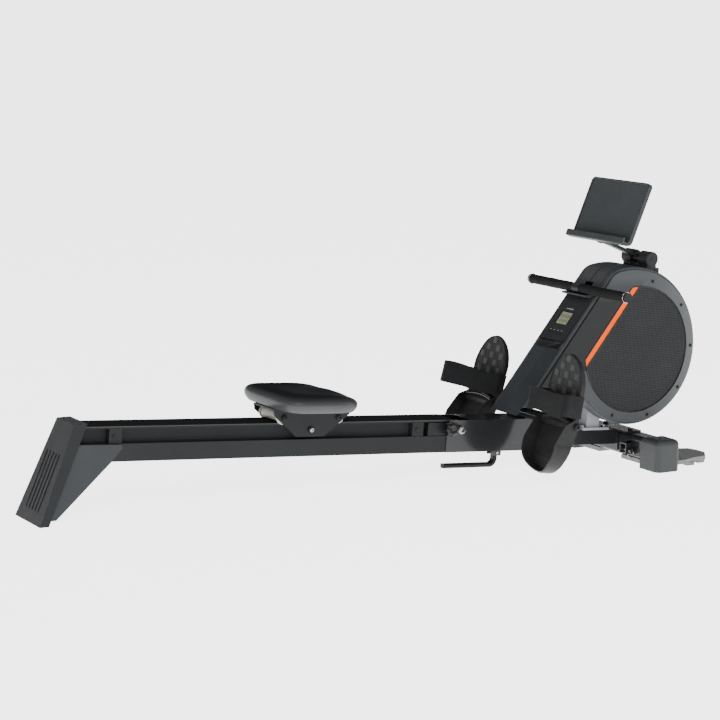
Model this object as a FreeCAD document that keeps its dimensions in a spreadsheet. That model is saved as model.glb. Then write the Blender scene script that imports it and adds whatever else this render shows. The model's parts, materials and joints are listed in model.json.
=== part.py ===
"""A folding magnetic rowing machine: sloping rail, rolling seat, strap handle, pedals and drum housing.

Millimetres, +Z up, +X from the rear foot towards the flywheel, +Y to the rower's left.
The origin is on the floor, half way along the machine and on its middle plane.
"""
import FreeCAD, Part
import math
import os

V = FreeCAD.Vector
doc = FreeCAD.newDocument("rowing_machine")

# ---------------------------------------------------------------------------------------------
# The driving dimensions
# ---------------------------------------------------------------------------------------------
SIZES = {
    # rail
    "pivot_run": 1341,        # floor distance from the rear foot's heel to the fold pivot
    "pivot_height": 147,
    "rail_slope": 3.66,       # degrees, falling towards the flywheel
    "rail_half_width": 48.3,
    "rail_depth": 97,
    "rail_wall": 3,
    "rail_lip": 6,
    "groove_depth": 22,       # side groove that the lower rollers run in
    "groove_height": 42,
    "pivot_drop": 29.5,       # pivot below the rail's top face
    "rail_end_gap": 20,
    "foot_lean": 110,         # how far the rear foot leans forward over its height
    "foot_half_width": 85.4,
    "foot_top_cover": 4.2,    # the rear foot's top stands this far outside the gussets
    "gusset_thick": 6,
    "stop_length": 38,
    # seat and carriage
    "seat_place": 512,        # seat centre behind the pivot, along the rail
    "seat_travel_back": 566,
    "seat_travel_front": 336,
    "seat_length": 252,
    "seat_width": 322,
    "seat_thick": 44,
    "cheek_gap": 8.2,         # between the rail's side and each carriage cheek
    "carriage_thick": 3.5,
    "axle_spread": 88,        # top axles each side of the seat centre
    "top_roller_radius": 16.7,
    "side_roller_radius": 12,
    "axle_radius": 5,
    "pivot_radius": 8,
    "running_gap": 0.05,
    # front frame
    "front_reach": 856,       # floor distance from the fold pivot to the tip of the storage feet
    "channel_back": 45,
    "channel_front": 260,
    "channel_gap": 0.7,       # between the rail's side and the channel's wall
    "channel_wall": 3,
    "beam_half_width": 30,
    "beam_height": 45,
    "mast_x": 480,
    "mast_length": 48,
    "mast_rise": 335,
    "pedal_axle_x": 252,
    "pedal_axle_z": 175,
    "pedal_axle_radius": 8,
    "pedal_centre": 205,      # each pedal's middle, from the machine's middle plane
    "pedal_width": 156,
    "pedal_toe": 204,
    "pedal_wall": 5,
    "heel_bend": 29,          # how far the heel end of a sole is bent towards the foot
    "strap_width": 66,
    "strap_thick": 2.6,
    "left_pedal_lean": 15.5,
    "right_pedal_lean": 9.2,
    "stabilizer_x": 594,
    "stabilizer_length": 65,
    "stabilizer_half_span": 253,
    "cap_overlap": 87,
    # drum housing
    "housing_half_width": 73,
    "shell_wall": 3,
    "cover_thick": 5,
    "drum_x": 619,
    "drum_z": 350,
    "drum_radius": 234,
    "brow_radius": 255,       # the flatter arc over the top of the housing
    "face_angle": 51.4,       # console face, degrees from the floor
    "face_x": 490,
    "face_z": 551,
    "disc_radius": 193.5,
    "stripe_offset": 129,
    "stripe_width": 18,
    "housing_floor": 198,
    "console_half_width": 60,
    "throat_proud": 22,
    # drive
    "flywheel_x": 669,
    "flywheel_z": 310,
    "flywheel_radius": 120,
    "flywheel_half_width": 15,
    "spool_x": 609,
    "spool_z": 470,
    "spool_radius": 36,
    "drive_pulley_radius": 82,
    "small_pulley_radius": 20,
    "shaft_radius": 8.5,
    "plate_inner": 30,
    "plate_thick": 4,
    # handle and tablet holder
    "handle_x": 451,
    "handle_z": 539,
    "handle_half_length": 247,
    "grip_radius": 15,
    "bar_radius": 11,
    "drive_strap_half_width": 14,
    "barrel_x": 681,
    "barrel_z": 623,
    "barrel_radius": 23,
    "barrel_half_length": 62,
    "tray_back_reach": 136,   # from the barrel back to the tray's hinge
    "tray_up_reach": 54,
    "tray_width": 285,
    "tray_height": 193,
    "tray_thick": 13,
    "tray_lean": 22.5,
}
sheet = doc.addObject("Spreadsheet::Sheet", "Sizes")
for row, (alias, number) in enumerate(SIZES.items(), start=1):
    sheet.set("A%d" % row, alias)
    sheet.set("B%d" % row, str(number))
    sheet.setAlias("B%d" % row, alias)
doc.recompute()
size = {alias: float(sheet.get(alias)) for alias in SIZES}


# ---------------------------------------------------------------------------------------------
# Ways of making a piece
# ---------------------------------------------------------------------------------------------
made = {}                     # node name: the document object that is exported


def text(value):
    """An expression on the sheet's cells, where a cell is written as $name."""
    return value.replace("$", "Sizes.")


def set_sizes(thing, **values):
    for name, value in values.items():
        if isinstance(value, str):
            thing.setExpression(name, text(value))
        else:
            setattr(thing, name, value)
    return thing


def put(thing, x, y, z):
    """Moves a piece; each coordinate is a number or an expression."""
    numbers = [0 if isinstance(v, str) else v for v in (x, y, z)]
    thing.Placement = FreeCAD.Placement(V(*numbers), thing.Placement.Rotation)
    for axis, value in zip("xyz", (x, y, z)):
        if isinstance(value, str):
            thing.setExpression("Placement.Base." + axis, text(value))
    return thing


def minus(value):
    return "-(%s)" % value if isinstance(value, str) else -value


def box(x, y, z, length, width, height):
    """A box from its lowest corner."""
    thing = doc.addObject("Part::Box", "block")
    return put(set_sizes(thing, Length=length, Width=width, Height=height), x, y, z)


def slab(x, half_width, z, length, height):
    """A box that straddles the middle plane."""
    twice = "2*(%s)" % half_width if isinstance(half_width, str) else 2 * half_width
    return box(x, minus(half_width), z, length, twice, height)


TURN = {"x": (V(0, 1, 0), 90), "y": (V(1, 0, 0), -90), "z": (V(0, 0, 1), 0)}


def rod(radius, x, y, z, length, along="y"):
    """A round bar that starts at x, y, z and runs the positive way along an axis."""
    thing = doc.addObject("Part::Cylinder", "bar")
    thing.Placement = FreeCAD.Placement(V(0, 0, 0), FreeCAD.Rotation(*TURN[along]))
    return put(set_sizes(thing, Radius=radius, Height=length), x, y, z)


def fuse(*things):
    whole = doc.addObject("Part::MultiFuse", "joined")
    whole.Shapes = list(things)
    whole.Refine = True
    return whole


def cut(base, *tools):
    whole = doc.addObject("Part::Cut", "opened")
    whole.Base = base
    whole.Tool = tools[0] if len(tools) == 1 else fuse(*tools)
    whole.Refine = True
    return whole


def common(one, other):
    whole = doc.addObject("Part::Common", "shared")
    whole.Base = one
    whole.Tool = other
    return whole


def group(*things):
    """Separate solids that are one node."""
    whole = doc.addObject("Part::Compound", "set")
    whole.Links = list(things)
    return whole


def mirrored(thing):
    """The same piece on the other side of the middle plane."""
    other = doc.addObject("Part::Mirroring", "mirrored")
    other.Source = thing
    other.Normal = V(0, 1, 0)
    return other


def pair(thing):
    return group(thing, mirrored(thing))


def rounded(base, radius, chosen):
    """Fillets the edges that the test picks."""
    doc.recompute()
    thing = doc.addObject("Part::Fillet", "rounded")
    thing.Base = base
    thing.Edges = [(n, radius, radius) for n, edge in enumerate(base.Shape.Edges, 1) if chosen(edge)]
    return thing


def prism(steps, half_width=None, low=None, high=None, plane="XZ"):
    """A closed outline, padded either side of its plane or from low to high.

    Each step is a point, or a (middle point, end point) pair for an arc; the last step closes it.
    """
    body = doc.addObject("PartDesign::Body", "body")
    sketch = body.newObject("Sketcher::SketchObject", "outline")
    origin = [f for f in body.Origin.OriginFeatures if f.Role == plane + "_Plane"][0]
    sketch.AttachmentSupport = (origin, [""])
    sketch.MapMode = "FlatFace"
    here = steps[-1][-1] if isinstance(steps[-1][0], tuple) else steps[-1]
    lines = []
    for step in steps:
        start = V(*here, 0)
        if isinstance(step[0], tuple):
            lines.append(Part.Arc(start, V(*step[0], 0), V(*step[1], 0)))
            here = step[1]
        else:
            lines.append(Part.LineSegment(start, V(*step, 0)))
            here = step
    sketch.addGeometry(lines, False)
    pad = body.newObject("PartDesign::Pad", "pad")
    pad.Profile = sketch
    if half_width is not None:
        pad.SideType = "Symmetric"
        set_sizes(pad, Length="2*(%s)" % half_width if isinstance(half_width, str) else 2 * half_width)
    else:
        pad.Reversed = plane == "XZ"
        pad.Length = high - low
        shift = {"XZ": V(0, low, 0), "XY": V(0, 0, low), "YZ": V(low, 0, 0)}[plane]
        body.Placement = FreeCAD.Placement(shift, FreeCAD.Rotation())
    return body


def softened(points, radii):
    """A closed outline's steps, with every corner turned into an arc of its own radius."""
    steps = []
    for n, ((x, z), radius) in enumerate(zip(points, radii)):
        arms = []
        for other in (points[n - 1], points[(n + 1) % len(points)]):
            far = math.hypot(other[0] - x, other[1] - z)
            arms.append(((other[0] - x) / far, (other[1] - z) / far))
        half_turn = math.acos(arms[0][0] * arms[1][0] + arms[0][1] * arms[1][1]) / 2
        back = radius / math.tan(half_turn)
        aim = (arms[0][0] + arms[1][0], arms[0][1] + arms[1][1])
        share = (radius / math.sin(half_turn) - radius) / math.hypot(*aim)
        start, end = [(x + arm[0] * back, z + arm[1] * back) for arm in arms]
        steps += [start, ((x + aim[0] * share, z + aim[1] * share), end)]
    return steps


def feature(shape):
    thing = doc.addObject("Part::Feature", "shape")
    thing.Shape = shape
    return thing


CHEEK = "($rail_half_width + $cheek_gap + $carriage_thick)"
CHANNEL = "($rail_half_width + $channel_gap + $channel_wall)"
FRONT_X = "($pivot_run - $front_reach) / 2"
REAR_X = "-($pivot_run + $front_reach) / 2"


def keep(node, thing, frame):
    """Names a finished piece and places it by the rail's, front's, rear's or console face's frame."""
    holder = group(thing)
    holder.Label = node
    made[node] = holder
    if frame == "rear":
        return put(holder, REAR_X, 0, 0)
    if frame == "front":
        return put(holder, FRONT_X, 0, 0)
    holder.Placement = FreeCAD.Placement(V(0, 0, 0), FreeCAD.Rotation(V(0, 1, 0), 10))
    if frame == "rail":
        holder.setExpression("Placement.Rotation.Angle", text("$rail_slope"))
        return put(holder, FRONT_X, 0, "$pivot_height")
    holder.setExpression("Placement.Rotation.Angle", text("-$face_angle"))
    return put(holder, FRONT_X + " + $face_x", 0, "$face_z")


def turned(thing, x, z, degrees):
    """A copy holder that leans a piece about the Y axis and moves its origin to x, z."""
    holder = group(thing)
    holder.Placement = FreeCAD.Placement(V(x, 0, z), FreeCAD.Rotation(V(0, 1, 0), degrees))
    return holder


# ---------------------------------------------------------------------------------------------
# Rail. Its frame has the fold pivot as origin, X along the rail and Z square to its top face.
# ---------------------------------------------------------------------------------------------
top = size["pivot_drop"]
bottom = top - size["rail_depth"]
slope = math.radians(size["rail_slope"])
half = size["rail_half_width"]
web = half - size["groove_depth"]
lip = top - size["rail_lip"]
ledge = lip - size["groove_height"]
wall = size["rail_wall"]

# rear foot: where its leaning back meets the floor and the rail's top face, in floor coordinates
foot_top = size["pivot_height"] + top / math.cos(slope) + size["pivot_run"] * math.tan(slope)
foot_top -= size["foot_lean"] * math.tan(slope) - 8
rail_start = -(size["pivot_run"] - size["foot_lean"] - 12) / math.cos(slope)
rail_end = -size["rail_end_gap"]


def section(inset):
    """Half of the rail's section is mirrored by the list's second half: grooves cut into both sides."""
    right = [(half - inset, top - inset), (half - inset, lip + inset), (web - inset, lip + inset),
             (web - inset, ledge - inset), (half - inset, ledge - inset), (half - inset, bottom + inset)]
    return right + [(-y, z) for y, z in reversed(right)]


def upper_bore():
    return [(web - wall, top - wall), (web - wall, ledge), (-web + wall, ledge), (-web + wall, top - wall)]


def lower_bore():
    return [(half - wall, ledge - wall), (half - wall, bottom + wall),
            (-half + wall, bottom + wall), (-half + wall, ledge - wall)]


def extrusion(steps, start, end):
    return prism(steps, low=start, high=end, plane="YZ")


rail = cut(extrusion(section(0), rail_start, rail_end),
           extrusion(upper_bore(), rail_start - 1, rail_end + 1),
           extrusion(lower_bore(), rail_start - 1, rail_end + 1))
keep("rail_beam", rail, "rail")

# end stops: blocks bolted into both side grooves, where the lower rollers fetch up
roller_z = lip - size["side_roller_radius"] - 0.3
front_stop = -size["seat_place"] + size["seat_travel_front"] + size["side_roller_radius"]
rear_stop = -size["seat_place"] - size["seat_travel_back"] - size["side_roller_radius"] - size["stop_length"]
stops = []
for start in (front_stop, rear_stop):
    block = box(start, web, ledge + 0.5, "$stop_length", "$groove_depth - 1", "$groove_height - 1")
    screw = rod(5, start + 16, half - 1, ledge + 20, 2.5)
    stops += [fuse(block, screw)]
keep("seat_stops", pair(group(*stops)), "rail")

# hinge lugs: plates in the side grooves that carry the fold pivot's bore past the rail's end
nose = size["pivot_radius"] + 12
lug = cut(fuse(box(-110, web, -17, 110, "$groove_depth - 0.3", 38),
               rod(nose, 0, web, 0, "$groove_depth - 0.3")),
          rod("$pivot_radius + $running_gap", 0, web - 5, 0, 40))
keep("hinge_lugs", pair(lug), "rail")

# rear foot: a leaning moulded cap, wider at the floor, ribbed on its back face
gusset_out = half + size["gusset_thick"]
foot_w, foot_tw, lean = size["foot_half_width"], gusset_out + size["foot_top_cover"], size["foot_lean"]


def foot_wire(z, back, front, half_w):
    corners = [V(back, -half_w, z), V(front, -half_w, z), V(front, half_w, z), V(back, half_w, z)]
    return Part.makePolygon(corners + corners[:1])


def foot_solid(inset, forward):
    low = foot_wire(0 if not inset else -1, inset * 1.1, 26 + forward, foot_w - inset)
    high_z = foot_top - inset
    high = foot_wire(high_z, lean + inset * 1.1, lean + 38 + forward, foot_tw - inset)
    return Part.makeLoft([low, high], True, True)


foot_wall = 5
foot = foot_solid(0, 0).cut(foot_solid(foot_wall, 40))
foot_tilt = math.degrees(math.atan2(lean, foot_top))
for k in range(5):
    groove = Part.makeBox(3, 8, foot_top * 0.62, V(-1.2, -44 + 20 * k, foot_top * 0.13))
    groove.rotate(V(0, 0, 0), V(0, 1, 0), foot_tilt)
    foot = foot.cut(groove)
ribs = []
for side_y in (gusset_out, -gusset_out - 40):
    rib = Part.makeBox(5, 40, foot_top * 0.55, V(14, side_y, 20))
    rib.rotate(V(0, 0, 0), V(0, 1, 0), foot_tilt)
    ribs.append(rib.common(foot_solid(1, 0)))
sole = Part.makeBox(20, 2 * foot_w - 28, 5, V(3, 14 - foot_w, 0))
keep("rear_foot", feature(foot.fuse(ribs).cut(sole).removeSplitter()), "rear")
keep("rear_sole", feature(sole), "rear")

# gussets: steel plates welded to each side of the rail, running down inside the foot
rise = foot_top - 263
gusset = prism([(18, 7), (60, 7), (218, 150 + rise), (250, 184 + rise), ((251, 193 + rise), (243, 197 + rise)),
                (118, 206 + rise)], low=half, high=gusset_out)
keep("foot_gussets", pair(gusset), "rear")

# ---------------------------------------------------------------------------------------------
# Seat and its carriage, in the rail's frame
# ---------------------------------------------------------------------------------------------
seat_x = -size["seat_place"]
axle_z = top + size["top_roller_radius"] + 0.3
cheek = half + size["cheek_gap"] + size["carriage_thick"]
deck = 64.0
pan = deck + 6
pad_z = pan + 6
cushion_x = seat_x - 7        # the cushion sits a little behind the carriage's middle


def oval(length, width, z, thick):
    """A rounded-rectangle slab: bowed ends and sides joined by tangent corner arcs."""
    a, b = length / 2, width / 2
    end_r, side_r, corner_r = 3.2 * a, 2.3 * b, 0.5 * a
    end_x, side_y = a - end_r, b - side_r
    span, reach_end, reach_side = math.hypot(end_x, side_y), end_r - corner_r, side_r - corner_r
    share = (reach_end ** 2 - reach_side ** 2 + span ** 2) / (2 * span)
    lift = math.sqrt(reach_end ** 2 - share ** 2)
    ux, uy = -end_x / span, side_y / span
    cx, cy = end_x + ux * share - uy * lift, uy * share + ux * lift
    low_turn, high_turn = math.atan2(cy, cx - end_x), math.atan2(cy - side_y, cx)
    first_x, first_y = end_x + end_r * math.cos(low_turn), end_r * math.sin(low_turn)
    last_x, last_y = side_r * math.cos(high_turn), side_y + side_r * math.sin(high_turn)
    half_turn = (low_turn + high_turn) / 2
    mid_x, mid_y = cx + corner_r * math.cos(half_turn), cy + corner_r * math.sin(half_turn)
    steps = [((a, 0), (first_x, first_y)), ((mid_x, mid_y), (last_x, last_y)), ((0, b), (-last_x, last_y)),
             ((-mid_x, mid_y), (-first_x, first_y)), ((-a, 0), (-first_x, -first_y)),
             ((-mid_x, -mid_y), (-last_x, -last_y)), ((0, -b), (last_x, -last_y)),
             ((mid_x, -mid_y), (first_x, -first_y))]
    moved = [((m[0] + cushion_x, m[1]), (e[0] + cushion_x, e[1])) for m, e in steps]
    return prism(moved, low=z, high=z + thick, plane="XY")


def seat_rim(edge):
    return abs(edge.BoundBox.ZMin - pad_z - size["seat_thick"]) < 0.01 and edge.BoundBox.ZLength < 0.01


cushion = rounded(oval(size["seat_length"], size["seat_width"], pad_z, size["seat_thick"]), 15, seat_rim)
keep("seat_pad", cushion, "rail")
keep("seat_pan", oval(size["seat_length"] - 26, size["seat_width"] - 30, pan, pad_z - pan), "rail")

spread = size["axle_spread"]
cheek_outline = [(seat_x - 47, -9), (seat_x + 44, -9), (seat_x + 123, 55), (seat_x + 123, deck + 5),
                 (seat_x - 124, deck + 5), (seat_x - 121, 52)]
cheek_plate = prism(cheek_outline, low=cheek - size["carriage_thick"], high=cheek)
deck_plate = slab(seat_x - 124, CHEEK, deck + 1.5, 247, 4.5)
holes = [rod("$axle_radius", seat_x + s * spread, -cheek - 5, axle_z, 2 * cheek + 10) for s in (-1, 1)]
holes.append(rod("$axle_radius", seat_x, -cheek - 5, roller_z, 2 * cheek + 10))
deck_plate = cut(deck_plate, *[slab(seat_x + s * spread - 24, half + 6, deck - 10, 48, 30) for s in (-1, 1)])
keep("seat_carriage", cut(fuse(cheek_plate, mirrored(cheek_plate), deck_plate), *holes), "rail")

axles = []
for s in (-1, 1):
    axle = rod("$axle_radius - 0.02", seat_x + s * spread, minus(CHEEK + " + 2"), axle_z, "2*(%s + 2)" % CHEEK)
    nuts = [rod(9, seat_x + s * spread, y, axle_z, 5) for y in (cheek, -cheek - 5)]
    axles += [fuse(axle, *nuts)]
side_bolt = fuse(rod("$axle_radius - 0.02", seat_x, web + 3, roller_z, cheek - web),
                 rod(9.5, seat_x, cheek, roller_z, 5))
keep("carriage_axles", group(*axles, pair(side_bolt)), "rail")

for node, s in (("rear_seat_roller", -1), ("front_seat_roller", 1)):
    barrel = rod("$top_roller_radius", seat_x + s * spread, -half - 1, axle_z, 2 * half + 2)
    flanges = [rod("$top_roller_radius + 4.5", seat_x + s * spread, y, axle_z, 4) for y in (-half - 5, half + 1)]
    bore = rod("$axle_radius + $running_gap", seat_x + s * spread, -80, axle_z, 160)
    keep(node, cut(fuse(barrel, *flanges), bore), "rail")
wheel = cut(rod("$side_roller_radius", seat_x, web + 3.5, roller_z, 15),
            rod("$axle_radius + $running_gap", seat_x, web, roller_z, 30))
keep("lower_seat_rollers", pair(wheel), "rail")

# ---------------------------------------------------------------------------------------------
# Front frame weldment: channel, beam, mast and stabilizer. Channel, beam and mast lie in the rail's frame.
# ---------------------------------------------------------------------------------------------
ch_wall = size["channel_wall"]
ch_half = half + size["channel_gap"] + ch_wall
ch_back, ch_front = -size["channel_back"], size["channel_front"]
ch_top, ch_low = top - 1.5, bottom
tube_outer = slab(ch_back, CHANNEL, ch_low, ch_front - ch_back, ch_top - ch_low)
tube_inner = slab(ch_back - 1, ch_half - ch_wall, ch_low + ch_wall, ch_front - ch_back - 3,
                  ch_top - ch_low - 2 * ch_wall)
open_top = slab(ch_back - 1, ch_half - ch_wall, 0, 38 - ch_back, 60)
open_floor = slab(ch_back - 1, ch_half - ch_wall, ch_low - 10, 31, 60)
bolt_hole = rod("$pivot_radius + 0.02", 0, -90, 0, 180)
knob_x, knob_z = -40.9, 5.1
knob_hole = rod(5.05, knob_x, -90, knob_z, 60)
ears = [box(150, y, ch_low - 21, 28, 3, 21) for y in (-17, 14)]
ear_hole = rod(4.05, 164, -30, ch_low - 13, 60)
ear_pin = rod(4, 164, -19, ch_low - 13, 38)
channel = cut(fuse(cut(tube_outer, tube_inner, open_top, open_floor), *ears), bolt_hole, knob_hole, ear_hole)
keep("base_channel", channel, "rail")

beam_low = bottom + 8.5
beam_top = beam_low + size["beam_height"]
beam_half = size["beam_half_width"]
stab_x = size["stabilizer_x"]
flange = 5
beam_end = (stab_x - flange) / math.cos(slope)
upright_cut = turned(slab(0, 60, -150, 100, 300), beam_end, 0, -size["rail_slope"])
beam = cut(slab(ch_front, "$beam_half_width", beam_low, beam_end - ch_front + 10, "$beam_height"),
           slab(ch_front - 1, beam_half - 3, beam_low + 3, beam_end - ch_front + 20, size["beam_height"] - 6),
           upright_cut)
keep("main_beam", beam, "rail")

mast_x = size["mast_x"]
mast = cut(slab(mast_x, "$beam_half_width", beam_top + 8, "$mast_length", "$mast_rise - 8"),
           slab(mast_x + 3, beam_half - 3, beam_top + 5, size["mast_length"] - 6, size["mast_rise"] + 20))
mast_foot = slab(mast_x - 18, beam_half + 8, beam_top, 98, 8)
keep("mast", fuse(mast, mast_foot), "rail")

axle_x, axle_h = size["pedal_axle_x"], size["pedal_axle_z"]
dx, dz = axle_x, axle_h - size["pivot_height"]
axle_u = dx * math.cos(slope) - dz * math.sin(slope)
axle_w = dx * math.sin(slope) + dz * math.cos(slope)
tube_half = size["pedal_centre"] - size["pedal_width"] / 2 - 2
axle_tube = cut(fuse(rod("$pedal_axle_radius + 8", axle_u, -tube_half, axle_w, 2 * tube_half),
                     slab(axle_u - 15, ch_half - 2, ch_top, 30, axle_w - ch_top)),
                rod("$pedal_axle_radius + 0.02", axle_u, -200, axle_w, 400))
keep("axle_tube", axle_tube, "rail")
reach = size["pedal_centre"] + size["pedal_width"] / 2 + 0.5
nut_thick = 4
pedal_nuts = [rod(11, axle_u, y, axle_w, nut_thick) for y in (reach, -reach - nut_thick)]
pedal_bar = rod("$pedal_axle_radius", axle_u, -reach - 2, axle_w, 2 * reach + 4)
keep("pedal_axle", fuse(pedal_bar, *pedal_nuts), "rail")

pivot_bolt = fuse(rod("$pivot_radius", 0, -ch_half - 6, 0, 2 * ch_half + 12), rod(13, 0, ch_half, 0, 6),
                  rod(13, 0, -ch_half - 6, 0, 6))
mast_bolts = [rod(7, mast_x + a, y, beam_top + 8, 5, "z") for a in (-9, 71) for y in (-22, 22)]
keep("frame_bolts", group(pivot_bolt, *mast_bolts, ear_pin), "rail")

# stabilizer: cross tube on the floor, moulded end caps, top plate, hanging bracket for the storage pin
stab_len, span = size["stabilizer_length"], size["stabilizer_half_span"]
cap_in = span - size["cap_overlap"]
tube_low, tube_top = 22, 92


def around_y(edge):
    box_ = edge.BoundBox
    return box_.YLength > 50 and box_.XLength < 0.01 and box_.ZLength < 0.01


def cross_tube(inset, half_w):
    block = slab(stab_x + inset, half_w, tube_low + inset, stab_len - 2 * inset, tube_top - tube_low - 2 * inset)
    return rounded(block, 12 - inset, around_y)


top_plate = fuse(slab(stab_x - flange, 82, tube_top, flange + 57, 5),
                 slab(stab_x - flange, 45, 34, flange, tube_top - 34))
pin_y = -100
bracket = cut(box(stab_x - 26, pin_y - 16, 34, 26, 32, 34), box(stab_x - 30, pin_y - 12, 30, 26, 24, 34))
pin_hole = rod(4.05, stab_x - 14, pin_y - 30, 46, 60)
plate_bolts = [rod(8, stab_x + 30, y, tube_top + 4, 6, "z") for y in (-62, 62)]
hollow_tube = cut(cross_tube(0, span - 12), cross_tube(2.5, span))
stabilizer = cut(fuse(hollow_tube, top_plate, *plate_bolts, bracket), pin_hole)
keep("stabilizer_tube", stabilizer, "front")


def cap_edges(edge):
    box_ = edge.BoundBox
    upright = box_.ZLength > 50 and box_.YMin > span - 1
    rim = box_.ZMin > tube_top + 2 and box_.ZLength < 0.01
    return upright or rim


cap_block = box(stab_x - 11, cap_in, 0, stab_len + 22, size["cap_overlap"], tube_top + 5)
cap_block = rounded(cap_block, 17, cap_edges)
cap_void = rounded(box(stab_x - 0.1, cap_in - 1, tube_low - 0.1, stab_len + 0.2, size["cap_overlap"] - 10,
                       tube_top - tube_low + 0.2), 11.9, around_y)
keep("stabilizer_caps", pair(cut(cap_block, cap_void)), "front")

tip = size["front_reach"]
cap_front = stab_x + stab_len + 11.5


def run_out(share):
    """A place between the end cap's front and the tip of the storage foot."""
    return cap_front + share * (tip - cap_front)


foot_steps = [(stab_x + 4, 1 - cap_in), (cap_front, 1 - cap_in), (cap_front, -213), (run_out(0.3), -211),
              (run_out(0.526), -196), (run_out(0.817), -188), (tip, -142), (run_out(0.99), -100),
              (run_out(0.946), -74), (run_out(0.763), -62), (stab_x + 4, -55)]
wedge = prism(foot_steps, low=9, high=22, plane="XY")
pads = [box(run_out(0.666), -186, 0, run_out(0.14) - cap_front, 20, 9.5),
        box(run_out(0.364), -204, 0, run_out(0.151) - cap_front, 22, 9.5)]
keep("storage_feet", pair(fuse(wedge, *pads)), "front")

# ---------------------------------------------------------------------------------------------
# Drum housing: two half shells, side covers with a disc and a stripe, console and throat cover
# ---------------------------------------------------------------------------------------------
face = math.radians(size["face_angle"])
along = (math.cos(face), math.sin(face))
inward = (math.sin(face), -math.cos(face))
drum = (size["drum_x"], size["drum_z"])
brow_x = drum[0] + size["drum_radius"] - size["brow_radius"]


def on_circle(centre, radius, degrees):
    turn = math.radians(degrees)
    return (centre[0] + radius * math.cos(turn), centre[1] + radius * math.sin(turn))


def on_face(inset, distance):
    """A point on the console face's plane, moved inward, at a distance up the slope."""
    return (size["face_x"] + inset * inward[0] + distance * along[0],
            size["face_z"] + inset * inward[1] + distance * along[1])


def housing_outline(inset, floor_z, corner=24):
    """Side view of the housing: straight face, rounded brow, long arc over the top, round front and belly."""
    start = on_face(inset, 0)
    brow, radius = (brow_x, drum[1]), size["brow_radius"] - inset
    px, pz = start[0] - brow[0], start[1] - brow[1]
    b = px * along[0] + pz * along[1]
    c = px * px + pz * pz - radius * radius
    up = -b + math.sqrt(b * b - c)
    peak = on_face(inset, up)
    before = on_face(inset, up - corner)
    peak_turn = math.degrees(math.atan2(peak[1] - brow[1], peak[0] - brow[0]))
    after = on_circle(brow, radius, peak_turn - math.degrees(corner / radius))
    middle = tuple(0.58 * p + 0.21 * (q + r) for p, q, r in zip(peak, before, after))
    front = on_circle(drum, size["drum_radius"] - inset, 0)
    belly = size["drum_radius"] - inset
    low_turn = -180 + math.degrees(math.asin((drum[1] - floor_z) / belly))
    sole_x = size["face_x"] + (floor_z - start[1] - 0) / math.tan(face) + (start[0] - size["face_x"])
    return [before, (middle, after), (on_circle(brow, radius, peak_turn / 2), front),
            (on_circle(drum, belly, low_turn / 2), on_circle(drum, belly, low_turn)), (sole_x, floor_z)]


h_half, shell = size["housing_half_width"], size["shell_wall"]
floor_z = size["housing_floor"]
outer = prism(housing_outline(0, floor_z), low=0.4, high=h_half)


def side_rim(edge):
    return abs(edge.BoundBox.YMin - h_half) < 0.01 and edge.BoundBox.YLength < 0.01


outer = rounded(outer, 7, side_rim)
inner = prism(housing_outline(shell, floor_z + shell), low=-1, high=h_half - shell)
strap_half = size["drive_strap_half_width"]
slot_half = strap_half + 5
mast_gap = box("$mast_x - 10", "-$beam_half_width - 3", floor_z - 98, "$mast_length + 28",
               "2*($beam_half_width + 3)", 160)
strap_gap = box("$handle_x + 4", -slot_half, "$handle_z - 17", 60, 2 * slot_half, 34)
half_shell = cut(outer, inner, mast_gap, strap_gap)
keep("left_shield", half_shell, "front")
keep("right_shield", mirrored(half_shell), "front")

disc_centre = (size["drum_x"] + 3.5, size["drum_z"])
disc_r, stripe_w = size["disc_radius"], size["stripe_width"]
offset = size["stripe_offset"]


def chord_block(near, far, y, thick):
    """A slab square to the stripe's normal, between two distances from the disc's centre."""
    block = Part.makeBox(600, thick, far - near, V(-300, y, near))
    block.rotate(V(0, 0, 0), V(0, 1, 0), -size["face_angle"])
    block.translate(V(disc_centre[0], 0, disc_centre[1]))
    return feature(block)


def disc_slice(radius, near, far, y, thick):
    return common(rod(radius, disc_centre[0], y, disc_centre[1], thick), chord_block(near, far, y, thick))


cover = cut(prism(housing_outline(8, floor_z + 6, 20), low=h_half, high=h_half + size["cover_thick"]),
            disc_slice(disc_r + 1, -300, offset + stripe_w / 2 + 1.5, h_half - 1, 10))
cover = rounded(cover, 2, lambda e: abs(e.BoundBox.YMin - h_half - size["cover_thick"]) < 0.01
                and e.BoundBox.YLength < 0.01)
keep("left_side_cover", cover, "front")
keep("right_side_cover", mirrored(cover), "front")
keep("side_discs", pair(disc_slice(disc_r, -300, offset - stripe_w / 2 - 1.5, h_half, 4)), "front")
keep("side_stripes", pair(disc_slice(disc_r, offset - stripe_w / 2, offset + stripe_w / 2, h_half, 4.6)), "front")
spots = [on_circle(drum, size["drum_radius"] - 20, a) for a in (75, 37, 0, -37, -75, -112)]
screws = [rod(4.5, x, h_half + size["cover_thick"], z, 1.4) for x, z in spots]
keep("cover_screws", pair(group(*screws)), "front")

# pieces on the console face; their frame has X up the slope and Z out of the face
c_half = size["console_half_width"]
bezel_low, bezel_high = -213, -54
lens_low, lens_long, lens_half = -156, 43, 26
button_row, button_spots, button_r = -189, (27, 9, -9, -27), 4.6
bezel = cut(slab(bezel_low, "$console_half_width", 0, bezel_high - bezel_low, 5.3),
            slab(lens_low - 0.5, lens_half + 0.5, 2.3, lens_long + 1, 8),
            *[rod(button_r + 0.2, button_row, y, 2, 10, "z") for y in button_spots])
keep("console_bezel", bezel, "face")
keep("console_lens", slab(lens_low, lens_half, 2.4, lens_long, 1.8), "face")
for n, y in enumerate(button_spots, start=1):
    keep("console_button_%d" % n, rod(button_r, button_row, y, 3.6, 2.6, "z"), "face")

proud = size["throat_proud"]
throat_low, throat_high = -490, -252


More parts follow.
